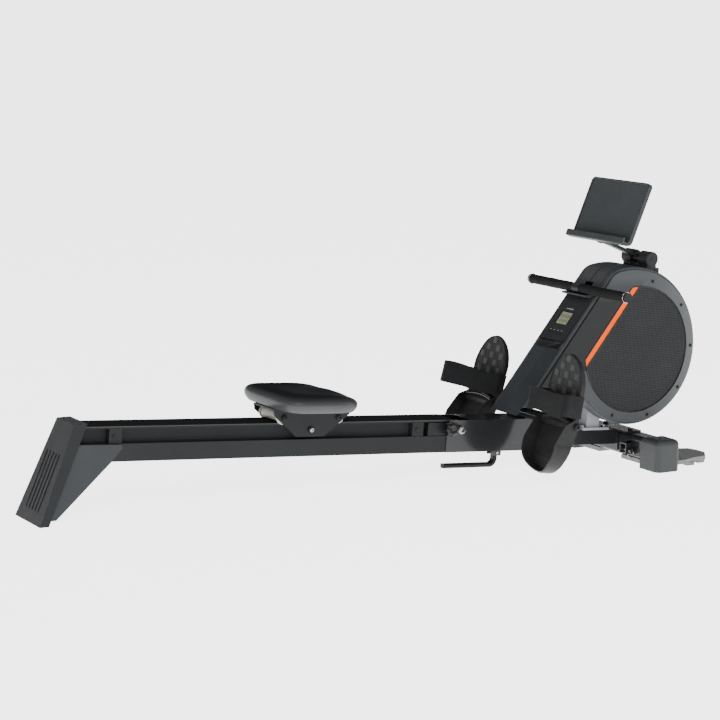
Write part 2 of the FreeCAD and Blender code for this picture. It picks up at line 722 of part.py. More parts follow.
def throat_solid(inset, low, high):
    """The cover's section run along the face, with both ends sloped as seen from the side."""
    wide, narrow = 66 - inset, 32 - inset * 0.7
    section_steps = [(-wide, 0), (wide, 0), (narrow, proud - inset), (-narrow, proud - inset)]
    side_steps = [(low + 10, 0), (low, proud + 2), (high, proud + 2), (high + 15, 0)]
    return common(prism(section_steps, low=low - 5, high=high + 20, plane="YZ"), prism(side_steps, half_width=80))


throat = cut(throat_solid(0, throat_low, throat_high), throat_solid(2.5, throat_low - 4, throat_high - 3))
keep("throat_cover", throat, "face")

# handle rest: a shelf and a hollow back under the bar, open towards the rower, slotted for the strap
hx, hz = size["handle_x"], size["handle_z"]
grip = size["grip_radius"]


def face_at(z):
    return size["face_x"] + (z - size["face_z"]) / math.tan(face)


rest_low, rest_high = hz - 24, hz + 6
rest_lip = hx - 17
rest_steps = [(face_at(rest_low), rest_low), (rest_lip, rest_low + 3), (rest_lip, rest_high),
              (face_at(rest_high), rest_high)]
rest = cut(prism(rest_steps, half_width=c_half), rod(grip + 0.4, hx, -100, hz, 200),
           box(hx - 60, -100, hz - grip - 0.4, 60, 200, 60),
           box(hx - 60, -slot_half, hz - 12, 120, 2 * slot_half, 60))
keep("handle_rest", rest, "front")

# ---------------------------------------------------------------------------------------------
# Drive inside the housing. The belt pulley is pressed on the flywheel's shaft, so they are one piece.
# ---------------------------------------------------------------------------------------------
belt_w = 14
plate_out = size["plate_inner"] + size["plate_thick"]
belt_y = (plate_out + h_half - shell) / 2 - belt_w / 2 - 1
shaft_end = belt_y + belt_w + 5
fly_x, fly_z = size["flywheel_x"], size["flywheel_z"]
spool = (size["spool_x"], size["spool_z"])
plate_in, plate_t = size["plate_inner"], size["plate_thick"]
roller = (515, hz - 1 - 14)
brake_pin = (fly_x + 128, fly_z + 22)
shaft = size["shaft_radius"]
plate_back = roller[0] - 15
plate_steps = [(plate_back, fly_z - 10), (plate_back, roller[1] - 9), (roller[0] - 3, roller[1] + 18),
               (roller[0] + 13, roller[1] + 18), (spool[0] + 30, spool[1] + 30),
               (fly_x + 40, fly_z + 40), (brake_pin[0] + 8, brake_pin[1] + 10), (brake_pin[0] + 8, brake_pin[1] - 14),
               (fly_x + 30, fly_z - 30), (fly_x - 30, fly_z - 30)]
plate = cut(prism(plate_steps, low=plate_in, high=plate_in + plate_t),
            rod("$shaft_radius + $running_gap", fly_x, plate_in - 2, fly_z, 10),
            rod("$shaft_radius + $running_gap", spool[0], plate_in - 2, spool[1], 10),
            rod(5.02, roller[0], plate_in - 2, roller[1], 10))
keep("drive_plates", group(plate, mirrored(plate), rod(4, brake_pin[0], -plate_in, brake_pin[1], 2 * plate_in),
                           rod(5, roller[0], -plate_in - plate_t, roller[1], 2 * plate_in + 2 * plate_t)), "front")
keep("strap_roller", cut(fuse(rod(14, roller[0], -17, roller[1], 34), rod(17, roller[0], -20, roller[1], 3),
                              rod(17, roller[0], 17, roller[1], 3)), rod(5.05, roller[0], -30, roller[1], 60)), "front")

rim = cut(rod("$flywheel_radius", fly_x, "-$flywheel_half_width", fly_z, "2*$flywheel_half_width"),
          rod(92, fly_x, 6, fly_z, 30), rod(92, fly_x, -36, fly_z, 30))
hub = rod(26, fly_x, "-$flywheel_half_width", fly_z, "2*$flywheel_half_width")
keep("flywheel", cut(fuse(rim, hub), rod("$shaft_radius + 0.02", fly_x, -60, fly_z, 120)), "front")
small = fuse(rod("$shaft_radius", fly_x, -40, fly_z, 40 + shaft_end),
             rod("$small_pulley_radius", fly_x, belt_y - 1, fly_z, belt_w + 2),
             rod("$small_pulley_radius + 3", fly_x, belt_y - 3, fly_z, 2),
             rod("$small_pulley_radius + 3", fly_x, belt_y + belt_w + 1, fly_z, 2))
keep("flywheel_shaft", small, "front")
shaft_start = 13 - h_half
keep("spool_shaft", rod("$shaft_radius", spool[0], shaft_start, spool[1], shaft_end - shaft_start), "front")
big = cut(rod("$drive_pulley_radius", spool[0], belt_y - 1, spool[1], belt_w + 2),
          rod(66, spool[0], belt_y + 8, spool[1], 30))
big_hub = rod(22, spool[0], belt_y - 1, spool[1], belt_w + 2)
keep("drive_pulley", cut(fuse(big, big_hub), rod("$shaft_radius + 0.02", spool[0], 0, spool[1], 120)), "front")
spool_body = fuse(rod("$spool_radius", spool[0], -16, spool[1], 32), rod(44, spool[0], -19, spool[1], 3),
                  rod(44, spool[0], 16, spool[1], 3))
keep("strap_spool", cut(spool_body, rod("$shaft_radius + $running_gap", spool[0], -40, spool[1], 80)), "front")


def wrap(one, r_one, other, r_other):
    """The two outer tangents round a pair of circles: the points on each, top then bottom."""
    x, z = other[0] - one[0], other[1] - one[1]
    far = math.hypot(x, z)
    heading = math.atan2(z, x)
    swing = math.acos((r_one - r_other) / far)
    spots = []
    for turn in (heading + swing, heading - swing):
        spots.append(((one[0] + r_one * math.cos(turn), one[1] + r_one * math.sin(turn)),
                      (other[0] + r_other * math.cos(turn), other[1] + r_other * math.sin(turn))))
    return spots, heading


def loop(r_extra):
    big_r, small_r = size["drive_pulley_radius"] + r_extra, size["small_pulley_radius"] + r_extra
    fly = (fly_x, fly_z)
    (upper, lower), heading = wrap(spool, big_r, fly, small_r)
    away = math.degrees(heading)
    return [upper[1], (on_circle(fly, small_r, away), lower[1]), lower[0],
            (on_circle(spool, big_r, away + 180), upper[0])]


keep("drive_belt", cut(prism(loop(3.3), low=belt_y, high=belt_y + belt_w),
                       prism(loop(0.3), low=belt_y - 1, high=belt_y + belt_w + 1)), "front")

# recoil spring case on the right-hand plate; the spool shaft runs into it
case_y = -plate_out
case_deep = h_half - 15 - plate_out
case = cut(rod(46, spool[0], case_y - case_deep, spool[1], case_deep),
           rod(43, spool[0], case_y - case_deep + 3, spool[1], 30),
           rod("$shaft_radius + 1", spool[0], case_y - 40, spool[1], 60))
lid = cut(rod(46, spool[0], case_y - 3, spool[1], 3), rod("$shaft_radius + 1", spool[0], case_y - 40, spool[1], 60))
keep("recoil_case", fuse(case, lid), "front")

# brake arm: a curved steel plate hung on its pin, carrying magnets close to the rim
arm_in = size["flywheel_radius"] + 4
first, last = 12.0, 82.0
fly = (fly_x, fly_z)
arc_steps = [on_circle(fly, arm_in, first), on_circle(fly, arm_in + 6, first),
             (on_circle(fly, arm_in + 6, (first + last) / 2), on_circle(fly, arm_in + 6, last)),
             on_circle(fly, arm_in, last), (on_circle(fly, arm_in, (first + last) / 2), on_circle(fly, arm_in, first))]
arm = cut(fuse(prism(arc_steps[1:], half_width=20), rod(11, brake_pin[0], -20, brake_pin[1], 40)),
          rod(4.05, brake_pin[0], -40, brake_pin[1], 80), rod("$flywheel_radius + 1.5", fly_x, -30, fly_z, 60))
keep("brake_arm", arm, "front")

# ---------------------------------------------------------------------------------------------
# Handle and its strap
# ---------------------------------------------------------------------------------------------
long_half = size["handle_half_length"]
yoke_half = 17
bar = fuse(rod("$bar_radius", hx, 3 - long_half, hz, 2 * long_half - 6),
           rod("$grip_radius - 0.5", hx, -long_half, hz, 4), rod("$grip_radius - 0.5", hx, long_half - 4, hz, 4))
yoke = fuse(rod("$grip_radius", hx, -yoke_half, hz, 2 * yoke_half), box(hx, -yoke_half + 2, hz - 6, 22, 30, 12))
keep("handle_bar", cut(fuse(bar, yoke), box(hx + 13, -30, hz - 1.1, 12, 60, 2.2)), "front")
sleeve = cut(rod("$grip_radius", hx, yoke_half + 0.1, hz, long_half - yoke_half - 4.2),
             rod("$bar_radius + 0.02", hx, yoke_half - 5, hz, 300))
keep("handle_grips", pair(sleeve), "front")

strap_gap_r = 0.3


def strap_line(lift):
    """One side of the strap: level from the handle, over the roller, down to the spool and part way round it."""
    r_one, r_two = 14 + strap_gap_r + lift, size["spool_radius"] + strap_gap_r + lift
    (upper, _), _ = wrap(roller, r_one, spool, r_two)
    turn = math.degrees(math.atan2(upper[0][1] - roller[1], upper[0][0] - roller[0]))
    return {"start": (hx + 13.5, roller[1] + r_one), "crest": (roller[0], roller[1] + r_one),
            "mid": on_circle(roller, r_one, (90 + turn) / 2), "leave": upper[0], "meet": upper[1],
            "round": on_circle(spool, r_two, turn - 30), "end": on_circle(spool, r_two, turn - 60)}


under, over = strap_line(0), strap_line(1.6)
strap_steps = [over["start"], over["crest"], (over["mid"], over["leave"]), over["meet"],
               (over["round"], over["end"]), under["end"], (under["round"], under["meet"]), under["leave"],
               (under["mid"], under["crest"]), under["start"]]
keep("drive_strap", prism(strap_steps, half_width="$drive_strap_half_width"), "front")

# ---------------------------------------------------------------------------------------------
# Pedals. Their frame has the axle as origin, Z up the sole and -X towards the rower's foot.
# ---------------------------------------------------------------------------------------------
toe, p_wall = size["pedal_toe"], size["pedal_wall"]
heel = -154.0


def sole_outline(inset):
    """Front view: a broad round toe, a slight waist and a rounder heel."""
    w = size["pedal_width"] / 2 - inset
    toe_bow, heel_bow = (w * 0.76, toe - 38 - inset * 0.7), (w * 0.76, heel + 28 + inset * 0.7)
    return [(heel_bow, (w, -58)), (w, 84), (toe_bow, (0, toe - inset)), ((-toe_bow[0], toe_bow[1]), (-w, 84)),
            (-w, -58), ((-heel_bow[0], heel_bow[1]), (0, heel + inset))]


sole_half, bend_z, bend = 7, -12, size["heel_bend"]
side_view = [(sole_half, toe + 5), (-sole_half, toe + 5), (-8, 18), (-39, 0), (-67, -57), (-71, -107),
             ((-62, -138), (-42, -158)), (sole_half - bend, -158), (sole_half - bend + 4, -112), (sole_half, bend_z)]
hollow_view = [(-140, toe), (-sole_half, toe), (-sole_half, bend_z + 4), (-sole_half - bend + 4, -108),
               (-sole_half - bend, -160), (-140, -160)]
strap_z = 57


def pedal():
    block = common(prism(side_view, half_width=120), prism(sole_outline(0), low=-120, high=20, plane="YZ"))
    hollow = common(prism(hollow_view, half_width=120),
                    prism(sole_outline(p_wall), low=-150, high=20, plane="YZ"))
    spine = rod("$pedal_axle_radius + 8", 0, "-$pedal_width / 2 + 6", 0, "$pedal_width - 12")
    return cut(fuse(cut(block, hollow), spine), rod("$pedal_axle_radius + $running_gap", 0, -140, 0, 280))


def foot_strap(outer_y, outer_x, inner_x):
    """A webbing loop round the sole and over the foot; its two front corners stand out by different amounts."""
    thick, front_radius, back_radius = size["strap_thick"], 13, 3
    edge = abs(outer_y)
    side_y = math.copysign(1, outer_y)
    fall = (inner_x - outer_x) / (2 * edge)
    shift = thick * math.hypot(1, fall)

    def path(inset):
        near, far = (outer_x + inset * (fall + shift / thick), inner_x + inset * (shift / thick - fall))
        y = edge - inset
        return [(sole_half + thick - inset, y), (near, y), (far, -y), (sole_half + thick - inset, -y)]

    loops = []
    for inset in (0, thick):
        radii = [r - inset for r in (back_radius, front_radius, front_radius, back_radius)]
        loops.append(softened([(x, y * side_y) for x, y in path(inset)], radii))
    low, high = strap_z - size["strap_width"] / 2, strap_z + size["strap_width"] / 2
    return cut(prism(loops[0], low=low, high=high, plane="XY"), prism(loops[1], low=low - 1, high=high + 1, plane="XY"))


toe_swell = 2.4               # the toe's arcs swell this much past the sole's straight sides
strap_edge = size["pedal_width"] / 2 + toe_swell + size["strap_thick"]
STRAP_CORNERS = {"left": (-135, -14), "right": (-57, -78)}     # outer and inner front corners

for side, s in (("left", 1), ("right", -1)):
    lean_p = size[side + "_pedal_lean"]
    band = foot_strap(s * strap_edge, *STRAP_CORNERS[side])
    for node, thing in ((side + "_pedal", pedal()), (side + "_foot_strap", band)):
        holder = group(thing)
        holder.Placement = FreeCAD.Placement(V(axle_x, s * size["pedal_centre"], axle_h),
                                             FreeCAD.Rotation(V(0, 1, 0), lean_p))
        keep(node, holder, "front")

# ---------------------------------------------------------------------------------------------
# Tablet holder: bracket and barrel on the housing, flat arm, tray with a ledge
# ---------------------------------------------------------------------------------------------
bx, bz, br = size["barrel_x"], size["barrel_z"], size["barrel_radius"]
roof = drum[1] + math.sqrt(size["brow_radius"] ** 2 - (bx - brow_x) ** 2)
post_in, post_out = 18, size["barrel_half_length"]
post_long = post_out - post_in
posts = [fuse(rod("$barrel_radius", bx, y, bz, post_long), box(bx - 16, y + 2, roof + 4, 34, post_long - 4, bz - roof - 4))
         for y in (-post_out, post_in)]
pedestal = prism([(bx - 26, roof - 2), (bx + 30, roof - 12), (bx + 30, roof + 4), (bx - 26, roof + 7)],
                 half_width=post_out - 2)
seat_cut = rod("$brow_radius + 0.3", brow_x, -100, drum[1], 200)
core = rod(8, bx, -19, bz, 38)
keep("tablet_bracket", cut(fuse(*posts, pedestal, core), seat_cut), "front")

tray_foot = (bx - size["tray_back_reach"], bz + size["tray_up_reach"])
arm_angle = math.degrees(math.atan2(size["tray_up_reach"], size["tray_back_reach"]))
arm_length = math.hypot(size["tray_up_reach"], size["tray_back_reach"])
flat = fuse(box(-arm_length, -16, -5, arm_length, 32, 10), rod(17, 0, -17, 0, 34), rod(7, -arm_length, -16, 0, 32))
holder_arm = cut(flat, rod(8.05, 0, -40, 0, 80), rod(3.55, -arm_length, -40, 0, 80))
keep("tablet_arm", turned(holder_arm, bx, bz, arm_angle), "front")

t_half, t_high, t_thick = size["tray_width"] / 2, size["tray_height"], size["tray_thick"]


def tray_corner(edge):
    box_ = edge.BoundBox
    return box_.XLength > t_thick - 1 and box_.YLength < 0.01 and box_.ZLength < 0.01


def ledge_edge(edge):
    return edge.BoundBox.YLength > 60


def panel_corner(edge):
    return edge.BoundBox.XLength > 2 and edge.BoundBox.YLength < 0.01 and edge.BoundBox.ZLength < 0.01


front_x, rim, recess = -22, 6, 1.5
tray_back = rounded(box(front_x, -t_half, -4, "$tray_thick", "$tray_width", "$tray_height + 4"), 14, tray_corner)
dish = rounded(box(front_x - 1, rim - t_half, 8, recess + 1, 2 * (t_half - rim), t_high - 8 - rim), 9, panel_corner)
ledge_bar = rounded(box(front_x - 24, -t_half + 1, -9, 25, 2 * t_half - 2, 10), 4, ledge_edge)
ledge_lip = rounded(box(front_x - 24, -t_half + 1, -9, 7, 2 * t_half - 2, 21), 3.4, ledge_edge)
ears_t = [box(-12, y, -8, 14, 5, 16) for y in (-22.5, 17.5)]
ears_t += [rod(8, 0, y, 0, 5) for y in (-22.5, 17.5)]
tray_pin = rod(3.5, 0, -22, 0, 44)
tray = fuse(cut(tray_back, dish), ledge_bar, ledge_lip, *ears_t, tray_pin)
keep("tablet_tray", turned(tray, tray_foot[0], tray_foot[1], size["tray_lean"]), "front")

# ---------------------------------------------------------------------------------------------
# Hand knob, release lever and storage pin
# ---------------------------------------------------------------------------------------------
lobes = [rod(4.5, knob_x + 19 * math.cos(k * math.pi / 4), -ch_half - 26, knob_z + 19 * math.sin(k * math.pi / 4), 20)
         for k in range(8)]
knob = fuse(rod(19, knob_x, -ch_half - 26, knob_z, 20), rod(9, knob_x, -ch_half - 6.5, knob_z, 6), *lobes,
            rod(5, knob_x, -ch_half - 7, knob_z, ch_half + 7 - half - 0.4))
keep("lock_knob", knob, "rail")

lever_pivot = (164, ch_low - 13)
lever_thick, lever_half, lever_drop, lever_long, bend_in = 13, 12, 44, 190, 13
bend_out = bend_in + lever_thick
lx, lz = lever_pivot[0] + lever_thick / 2, lever_pivot[1]
sole_z = lz - lever_drop
corner = 1 - math.sqrt(0.5)
lever_steps = [(lx, lz), (lx, sole_z + bend_out),
               ((lx - bend_out * corner, sole_z + bend_out * corner), (lx - bend_out, sole_z)),
               (lx - lever_long, sole_z), (lx - lever_long, sole_z + lever_thick), (lx - bend_out, sole_z + lever_thick),
               ((lx - lever_thick - bend_in * corner, sole_z + lever_thick + bend_in * corner),
                (lx - lever_thick, sole_z + bend_out)), (lx - lever_thick, lz)]


def lever_side(edge):
    return edge.BoundBox.YLength < 0.01 and edge.BoundBox.ZMax < lz - 1


bent_tube = rounded(prism(lever_steps, half_width=lever_half), 5, lever_side)
eye = rod(9, lever_pivot[0], -lever_half, lz, 2 * lever_half)
keep("release_lever", cut(fuse(bent_tube, eye), rod(4.05, lever_pivot[0], -30, lz, 60)), "rail")

ring = doc.addObject("Part::Torus", "ring")
ring.Radius1 = 11
ring.Radius2 = 1.2
ring.Placement = FreeCAD.Placement(V(stab_x - 14, pin_y - 25, 46 - 11), FreeCAD.Rotation(V(1, 0, 0), 90))
pin = fuse(rod(4, stab_x - 14, pin_y - 22, 46, 44), rod(6.5, stab_x - 14, pin_y - 29, 46, 8), ring)
keep("storage_pin", pin, "front")

# ---------------------------------------------------------------------------------------------
# Check every object, then write one file for each piece
# ---------------------------------------------------------------------------------------------
doc.recompute()
faults = [o.Label for o in doc.Objects if "Invalid" in o.State or "Error" in o.State]
faults += [node for node, o in made.items() if o.Shape.isNull() or not o.Shape.isValid() or not o.Shape.Solids]
if faults:
    raise SystemExit("these pieces failed: " + ", ".join(faults))
os.makedirs("parts", exist_ok=True)
for node, thing in made.items():
    shape = thing.Shape
    solids = shape.Solids
    whole = solids[0] if len(solids) == 1 else Part.makeCompound(solids)
    whole.exportStep(os.path.join("parts", node + ".step"))
    print("%-22s %2d solids %10.1f cm3" % (node, len(solids), sum(s.Volume for s in solids) / 1000))
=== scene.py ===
import json
import math
import bpy
from mathutils import Matrix, Vector


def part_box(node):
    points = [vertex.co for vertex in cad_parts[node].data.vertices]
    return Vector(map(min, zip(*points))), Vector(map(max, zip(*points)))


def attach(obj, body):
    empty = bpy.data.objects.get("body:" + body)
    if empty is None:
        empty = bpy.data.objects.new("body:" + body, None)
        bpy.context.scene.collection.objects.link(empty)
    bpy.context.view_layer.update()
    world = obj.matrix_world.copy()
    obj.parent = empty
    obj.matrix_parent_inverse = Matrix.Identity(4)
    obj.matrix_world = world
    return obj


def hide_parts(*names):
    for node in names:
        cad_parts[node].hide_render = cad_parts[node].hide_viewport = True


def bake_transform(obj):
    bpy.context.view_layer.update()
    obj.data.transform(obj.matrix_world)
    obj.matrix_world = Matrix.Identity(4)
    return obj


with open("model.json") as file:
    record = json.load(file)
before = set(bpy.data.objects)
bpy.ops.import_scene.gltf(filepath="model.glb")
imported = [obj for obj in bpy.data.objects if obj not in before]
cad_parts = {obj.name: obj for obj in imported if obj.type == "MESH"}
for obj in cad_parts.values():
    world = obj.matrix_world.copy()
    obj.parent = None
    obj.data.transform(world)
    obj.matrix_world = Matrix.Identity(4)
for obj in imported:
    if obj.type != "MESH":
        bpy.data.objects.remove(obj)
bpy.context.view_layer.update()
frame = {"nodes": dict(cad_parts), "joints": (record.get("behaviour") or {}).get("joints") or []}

# ---- Camera, floor and studio lamps --------------------------------------------------------------
# A long lens on the rower's right, behind the rear foot, level with a standing person's hip.
# The floor is a plain pale sweep and three large soft lamps hang round the machine.
forward = Vector((0.5100, 0.8449, -0.1615)).normalized()
level = forward.cross(Vector((0, 0, 1))).normalized()
upright = level.cross(forward)
roll = math.radians(1.212)
right = level * math.cos(roll) + upright * math.sin(roll)
up = upright * math.cos(roll) - level * math.sin(roll)
lens = bpy.data.cameras.new("camera")
lens.lens = 110.1
lens.clip_end = 200
camera = bpy.data.objects.new("camera", lens)
camera_place = Vector((-3.3000, -5.3424, 1.3889))
camera_turn = Matrix((right, up, -forward)).transposed()
camera.matrix_world = Matrix.Translation(camera_place) @ camera_turn.to_4x4()
bpy.context.scene.collection.objects.link(camera)
bpy.context.scene.camera = camera


def lamp(name, place, aim, size, power):
    data = bpy.data.lights.new(name, "AREA")
    data.shape = "RECTANGLE"
    data.size, data.size_y = size
    data.energy = power
    thing = bpy.data.objects.new(name, data)
    turn = (Vector(place) - Vector(aim)).to_track_quat("Z", "Y")
    thing.matrix_world = Matrix.Translation(place) @ turn.to_matrix().to_4x4()
    bpy.context.scene.collection.objects.link(thing)


lamp("key_lamp", (-1.6, -3.2, 3.4), (0.1, 0, 0.2), (2.6, 1.6), 90)
lamp("side_lamp", (3.6, -2.2, 2.2), (0.5, 0, 0.3), (1.6, 2.4), 45)
lamp("back_lamp", (0.2, 3.2, 3.0), (0.2, 0, 0.3), (3.2, 1.2), 14)
world = bpy.data.worlds.new("studio")
bpy.context.scene.world = world
world.use_nodes = True
world.node_tree.nodes["Background"].inputs["Color"].default_value = (0.93, 0.94, 0.95, 1)
world.node_tree.nodes["Background"].inputs["Strength"].default_value = 0.32


class Link:
    """The value on one socket of a finish; sums and products of it add Math nodes."""

    def __init__(self, finish, socket):
        self.finish, self.socket = finish, socket

    def maths(self, operation, first, second):
        return self.finish.node("Math", {"operation": operation}, {0: first, 1: second})

    def __add__(self, other):
        return self.maths("ADD", self, other)

    def __sub__(self, other):
        return self.maths("SUBTRACT", self, other)

    def __rsub__(self, other):
        return self.maths("SUBTRACT", other, self)

    def __mul__(self, other):
        return self.maths("MULTIPLY", self, other)

    def __gt__(self, other):
        return self.maths("GREATER_THAN", self, other)

    def __lt__(self, other):
        return self.maths("LESS_THAN", self, other)

    __radd__, __rmul__ = __add__, __mul__


class Finish:
    """A material round one Principled shader; node() makes every other node in it."""

    def __init__(self, name, **constants):
        self.material = bpy.data.materials.new(name)
        self.material.use_nodes = True
        self.tree = self.material.node_tree
        self.shader = self.tree.nodes["Principled BSDF"]
        for socket, value in constants.items():
            self.shader.inputs[socket.replace("_", " ")].default_value = value

    def join(self, socket, value):
        if isinstance(value, Link):
            self.tree.links.new(value.socket, socket)
        elif isinstance(value, tuple) and len(value) == 3 and socket.type == "RGBA":
            socket.default_value = (*value, 1)
        else:
            socket.default_value = value

    def node(self, kind, settings, values, out=0):
        made = self.tree.nodes.new("ShaderNode" + kind)
        for name, value in settings.items():
            setattr(made, name, value)
        for key, value in values.items():
            self.join(made.inputs[key], value)
        return Link(self, made.outputs[out])

    def spot(self):
        """Where a point is on the piece at rest, in metres."""
        return self.node("TexCoord", {}, {}, "Object")

    def along(self, direction):
        """How far that point is from the machine's origin, along a direction."""
        values = {0: self.spot(), 1: direction}
        return self.node("VectorMath", {"operation": "DOT_PRODUCT"}, values, "Value")

    def limited(self, value):
        """The value, kept between 0 and 1."""
        return self.node("Clamp", {}, {0: value})

    def sine(self, value):
        return self.node("Math", {"operation": "SINE"}, {0: value})

    def noise(self, scale, detail=2.0):
        return self.node("TexNoise", {}, {"Vector": self.spot(), "Scale": scale, "Detail": detail}, "Fac")

    def mix(self, share, first, second):
        return self.node("Mix", {"data_type": "RGBA"}, {0: share, 6: first, 7: second}, 2)

    def colour(self, value):
        self.join(self.shader.inputs["Base Color"], value)

    def rough(self, value):
        self.join(self.shader.inputs["Roughness"], value)

    def bump(self, height, distance, strength=1.0):
        values = {"Height": height, "Distance": distance, "Strength": strength}
        self.join(self.shader.inputs["Normal"], self.node("Bump", {}, values, "Normal"))


floor_finish = Finish("floor_paper", Roughness=0.9, Specular_IOR_Level=0.1, Emission_Color=(1, 1, 1, 1),
                      Emission_Strength=3.4)
floor_finish.colour((0.93, 0.93, 0.935))
floor = bpy.data.objects.new("studio_floor", bpy.data.meshes.new("studio_floor"))
sweep = [(0.01, 0), (4, 0), (24, 0), (34, 0.4), (44, 1.4), (54, 3.2)]
around = 64
turns = [2 * math.pi * k / around for k in range(around)]
floor_points = [(reach * math.cos(turn), reach * math.sin(turn), rise)
                for reach, rise in sweep for turn in turns]
floor_faces = [tuple(reversed(range(around)))]
for row in range(len(sweep) - 1):
    for k in range(around):
        a, b = row * around + k, row * around + (k + 1) % around
        floor_faces.append((a, b, b + around, a + around))
floor.data.from_pydata(floor_points, [], floor_faces)
floor.data.shade_smooth()
floor.data.materials.append(floor_finish.material)
bpy.context.scene.collection.objects.link(floor)


# ---- Front frame: channel, beam, axle tube and cross tube ----------------------------------------
# Welded steel tubes, stoved with gloss black enamel. The enamel has a faint orange-peel skin and
# a little dust in random patches. The rail's end folds up out of the open-topped channel.
def enamel(name, colour, roughness, coat):
    made = Finish(name, Coat_Weight=coat * 0.5, Coat_Roughness=0.12, Specular_IOR_Level=0.12)
    made.colour(made.mix(made.noise(9), colour, tuple(1.35 * c for c in colour)))
    made.rough(made.noise(40, 3) * 0.14 + roughness)
    made.bump(made.noise(260), 0.0004, 0.25)
    return made.material


def coat(nodes, material):
    """Gives carried-over pieces of the frame a finish."""
    for node in nodes:
        mesh = frame["nodes"][node].data
        mesh.materials.clear()
        mesh.materials.append(material)


gloss_black = enamel("gloss_black_enamel", (0.010, 0.0105, 0.0115), 0.16, 0.6)
coat(["base_channel", "main_beam", "axle_tube", "stabilizer_tube"], gloss_black)

# ---- Mast ----------------------------------------------------------------------------------------
# A square steel post inside the housing, bolted to the beam through a flat foot. It has a satin pale
# grey powder coat.
pale_powder = enamel("pale_grey_powder", (0.19, 0.19, 0.205), 0.38, 0.0)
coat(["mast"], pale_powder)


# ---- Bolts, nuts and axles -----------------------------------------------------------------------
# Zinc and chrome plated steel, and satin black for the pedal and seat axles. Each head is domed with a
# hex socket, and sits on the frame where its bolt or axle comes through.
def metal(name, colour, roughness):
    made = Finish(name, Metallic=1.0)
    made.colour(made.mix(made.noise(30), colour, tuple(0.82 * c for c in colour)))
    made.rough(made.noise(90, 4) * 0.16 + roughness)
    made.bump(made.noise(700), 0.0002, 0.2)
    return made.material


zinc = metal("zinc_plate", (0.42, 0.42, 0.41), 0.3)
chrome = metal("chrome_plate", (0.24, 0.24, 0.245), 0.16)
black_steel = enamel("satin_black_powder", (0.0085, 0.009, 0.0095), 0.36, 0.0)
coat(["flywheel_shaft", "spool_shaft"], zinc)
coat(["pedal_axle", "carriage_axles"], black_steel)
coat(["frame_bolts", "storage_pin"], chrome)


def piece(name, points, faces, material, body, crisp=35):
    """A mesh piece in the machine's own frame, shaded smooth but for edges sharper than crisp degrees."""
    mesh = bpy.data.meshes.new(name)
    mesh.from_pydata([tuple(p) for p in points], [], faces)
    mesh.validate()
    mesh.shade_smooth()
    mesh.set_sharp_from_angle(angle=math.radians(crisp))
    mesh.materials.append(material)
    made = bpy.data.objects.new(name, mesh)
    bpy.context.scene.collection.objects.link(made)
    if body:
        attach(made, body)
    return made


def turned(profile, sides=32, wobble=None):
    """Points and faces of a shape turned about Z from (radius, height) pairs; wobble scales each radius."""
    points, faces = [], []
    for radius, height in profile:
        for k in range(sides):
            turn = 2 * math.pi * k / sides
            reach = radius * (wobble(turn, radius) if wobble else 1)
            points.append(Vector((reach * math.cos(turn), reach * math.sin(turn), height)))
    for ring in range(len(profile) - 1):
        for k in range(sides):
            a, b = ring * sides + k, ring * sides + (k + 1) % sides
            faces.append((a, b, b + sides, a + sides))
    faces.append(tuple(reversed(range(sides))))
    faces.append(tuple(range((len(profile) - 1) * sides, len(profile) * sides)))
    return points, faces


def stand(centre, axis):
    """A frame at centre whose Z points along axis."""
    return Matrix.Translation(centre) @ Vector(axis).to_track_quat("Z", "Y").to_matrix().to_4x4()


def bolt_heads(name, places, axis, radius, height, material, body):
    """Domed socket heads, one at each place, as one piece."""
    profile = [(radius, 0), (radius, height * 0.45), (radius * 0.9, height * 0.8), (radius * 0.7, height),
               (radius * 0.52, height), (radius * 0.5, height * 0.94), (radius * 0.46, height * 0.2)]
    points, faces = [], []
    for place in places:
        ring, walls = turned(profile, 24)
        first = len(points)
        points += [stand(place, axis) @ p for p in ring]
        faces += [tuple(first + v for v in wall) for wall in walls]
    return piece(name, points, faces, material, body)


joint = {j["name"]: j for j in frame["joints"]}
pivot = Vector(joint["rail_fold"]["pos_m"])
back = Vector(joint["seat_slide"]["axis"])
side_ways = Vector((0, 1, 0))
rail_up = (-back).cross(side_ways)
rail_axes = Matrix((-back, side_ways, rail_up)).transposed()
rail_frame = Matrix.Translation(pivot) @ rail_axes.to_4x4()


def on_rail(x, y, z):
    """A point from the rail's own frame, which starts at the fold pivot."""
    return rail_frame @ Vector((x, y, z))


pivot_face = 0.0578
for side, name in ((-1, "right_pivot_bolt_head"), (1, "left_pivot_bolt_head")):
    place = on_rail(0, side * pivot_face, 0)
    bolt_heads(name, [place], (0, side, 0), 0.0128, 0.0075, chrome, "frame")
pedal_axis = joint["left_pedal_tilt"]["pos_m"]
cap_seat = 0.0004
low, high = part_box("pedal_axle")
for side, edge, name in ((-1, low.y, "right_axle_cap"), (1, high.y, "left_axle_cap")):
    place = (pedal_axis[0], edge - side * cap_seat, pedal_axis[2])
    bolt_heads(name, [place], (0, side, 0), 0.0095, 0.004, black_steel, "frame")

# ---- Cross tube's end caps and storage feet ------------------------------------------------------
# Moulded nylon caps pushed over the tube's ends, and flat moulded feet that run out in front of them,
# for the folded machine to stand on. Both have a fine spark-eroded texture.


def moulded(name, colour, roughness, grain=0.6, scale=900):
    """Injection-moulded plastic with a fine spark-eroded texture."""
    made = Finish(name, Specular_IOR_Level=0.12)
    made.colour(made.mix(made.noise(14, 3), colour, tuple(1.3 * c for c in colour)))
    made.rough(made.noise(60, 3) * 0.12 + roughness)
    made.bump(made.noise(scale, 3), 0.0005, grain)
    return made.material


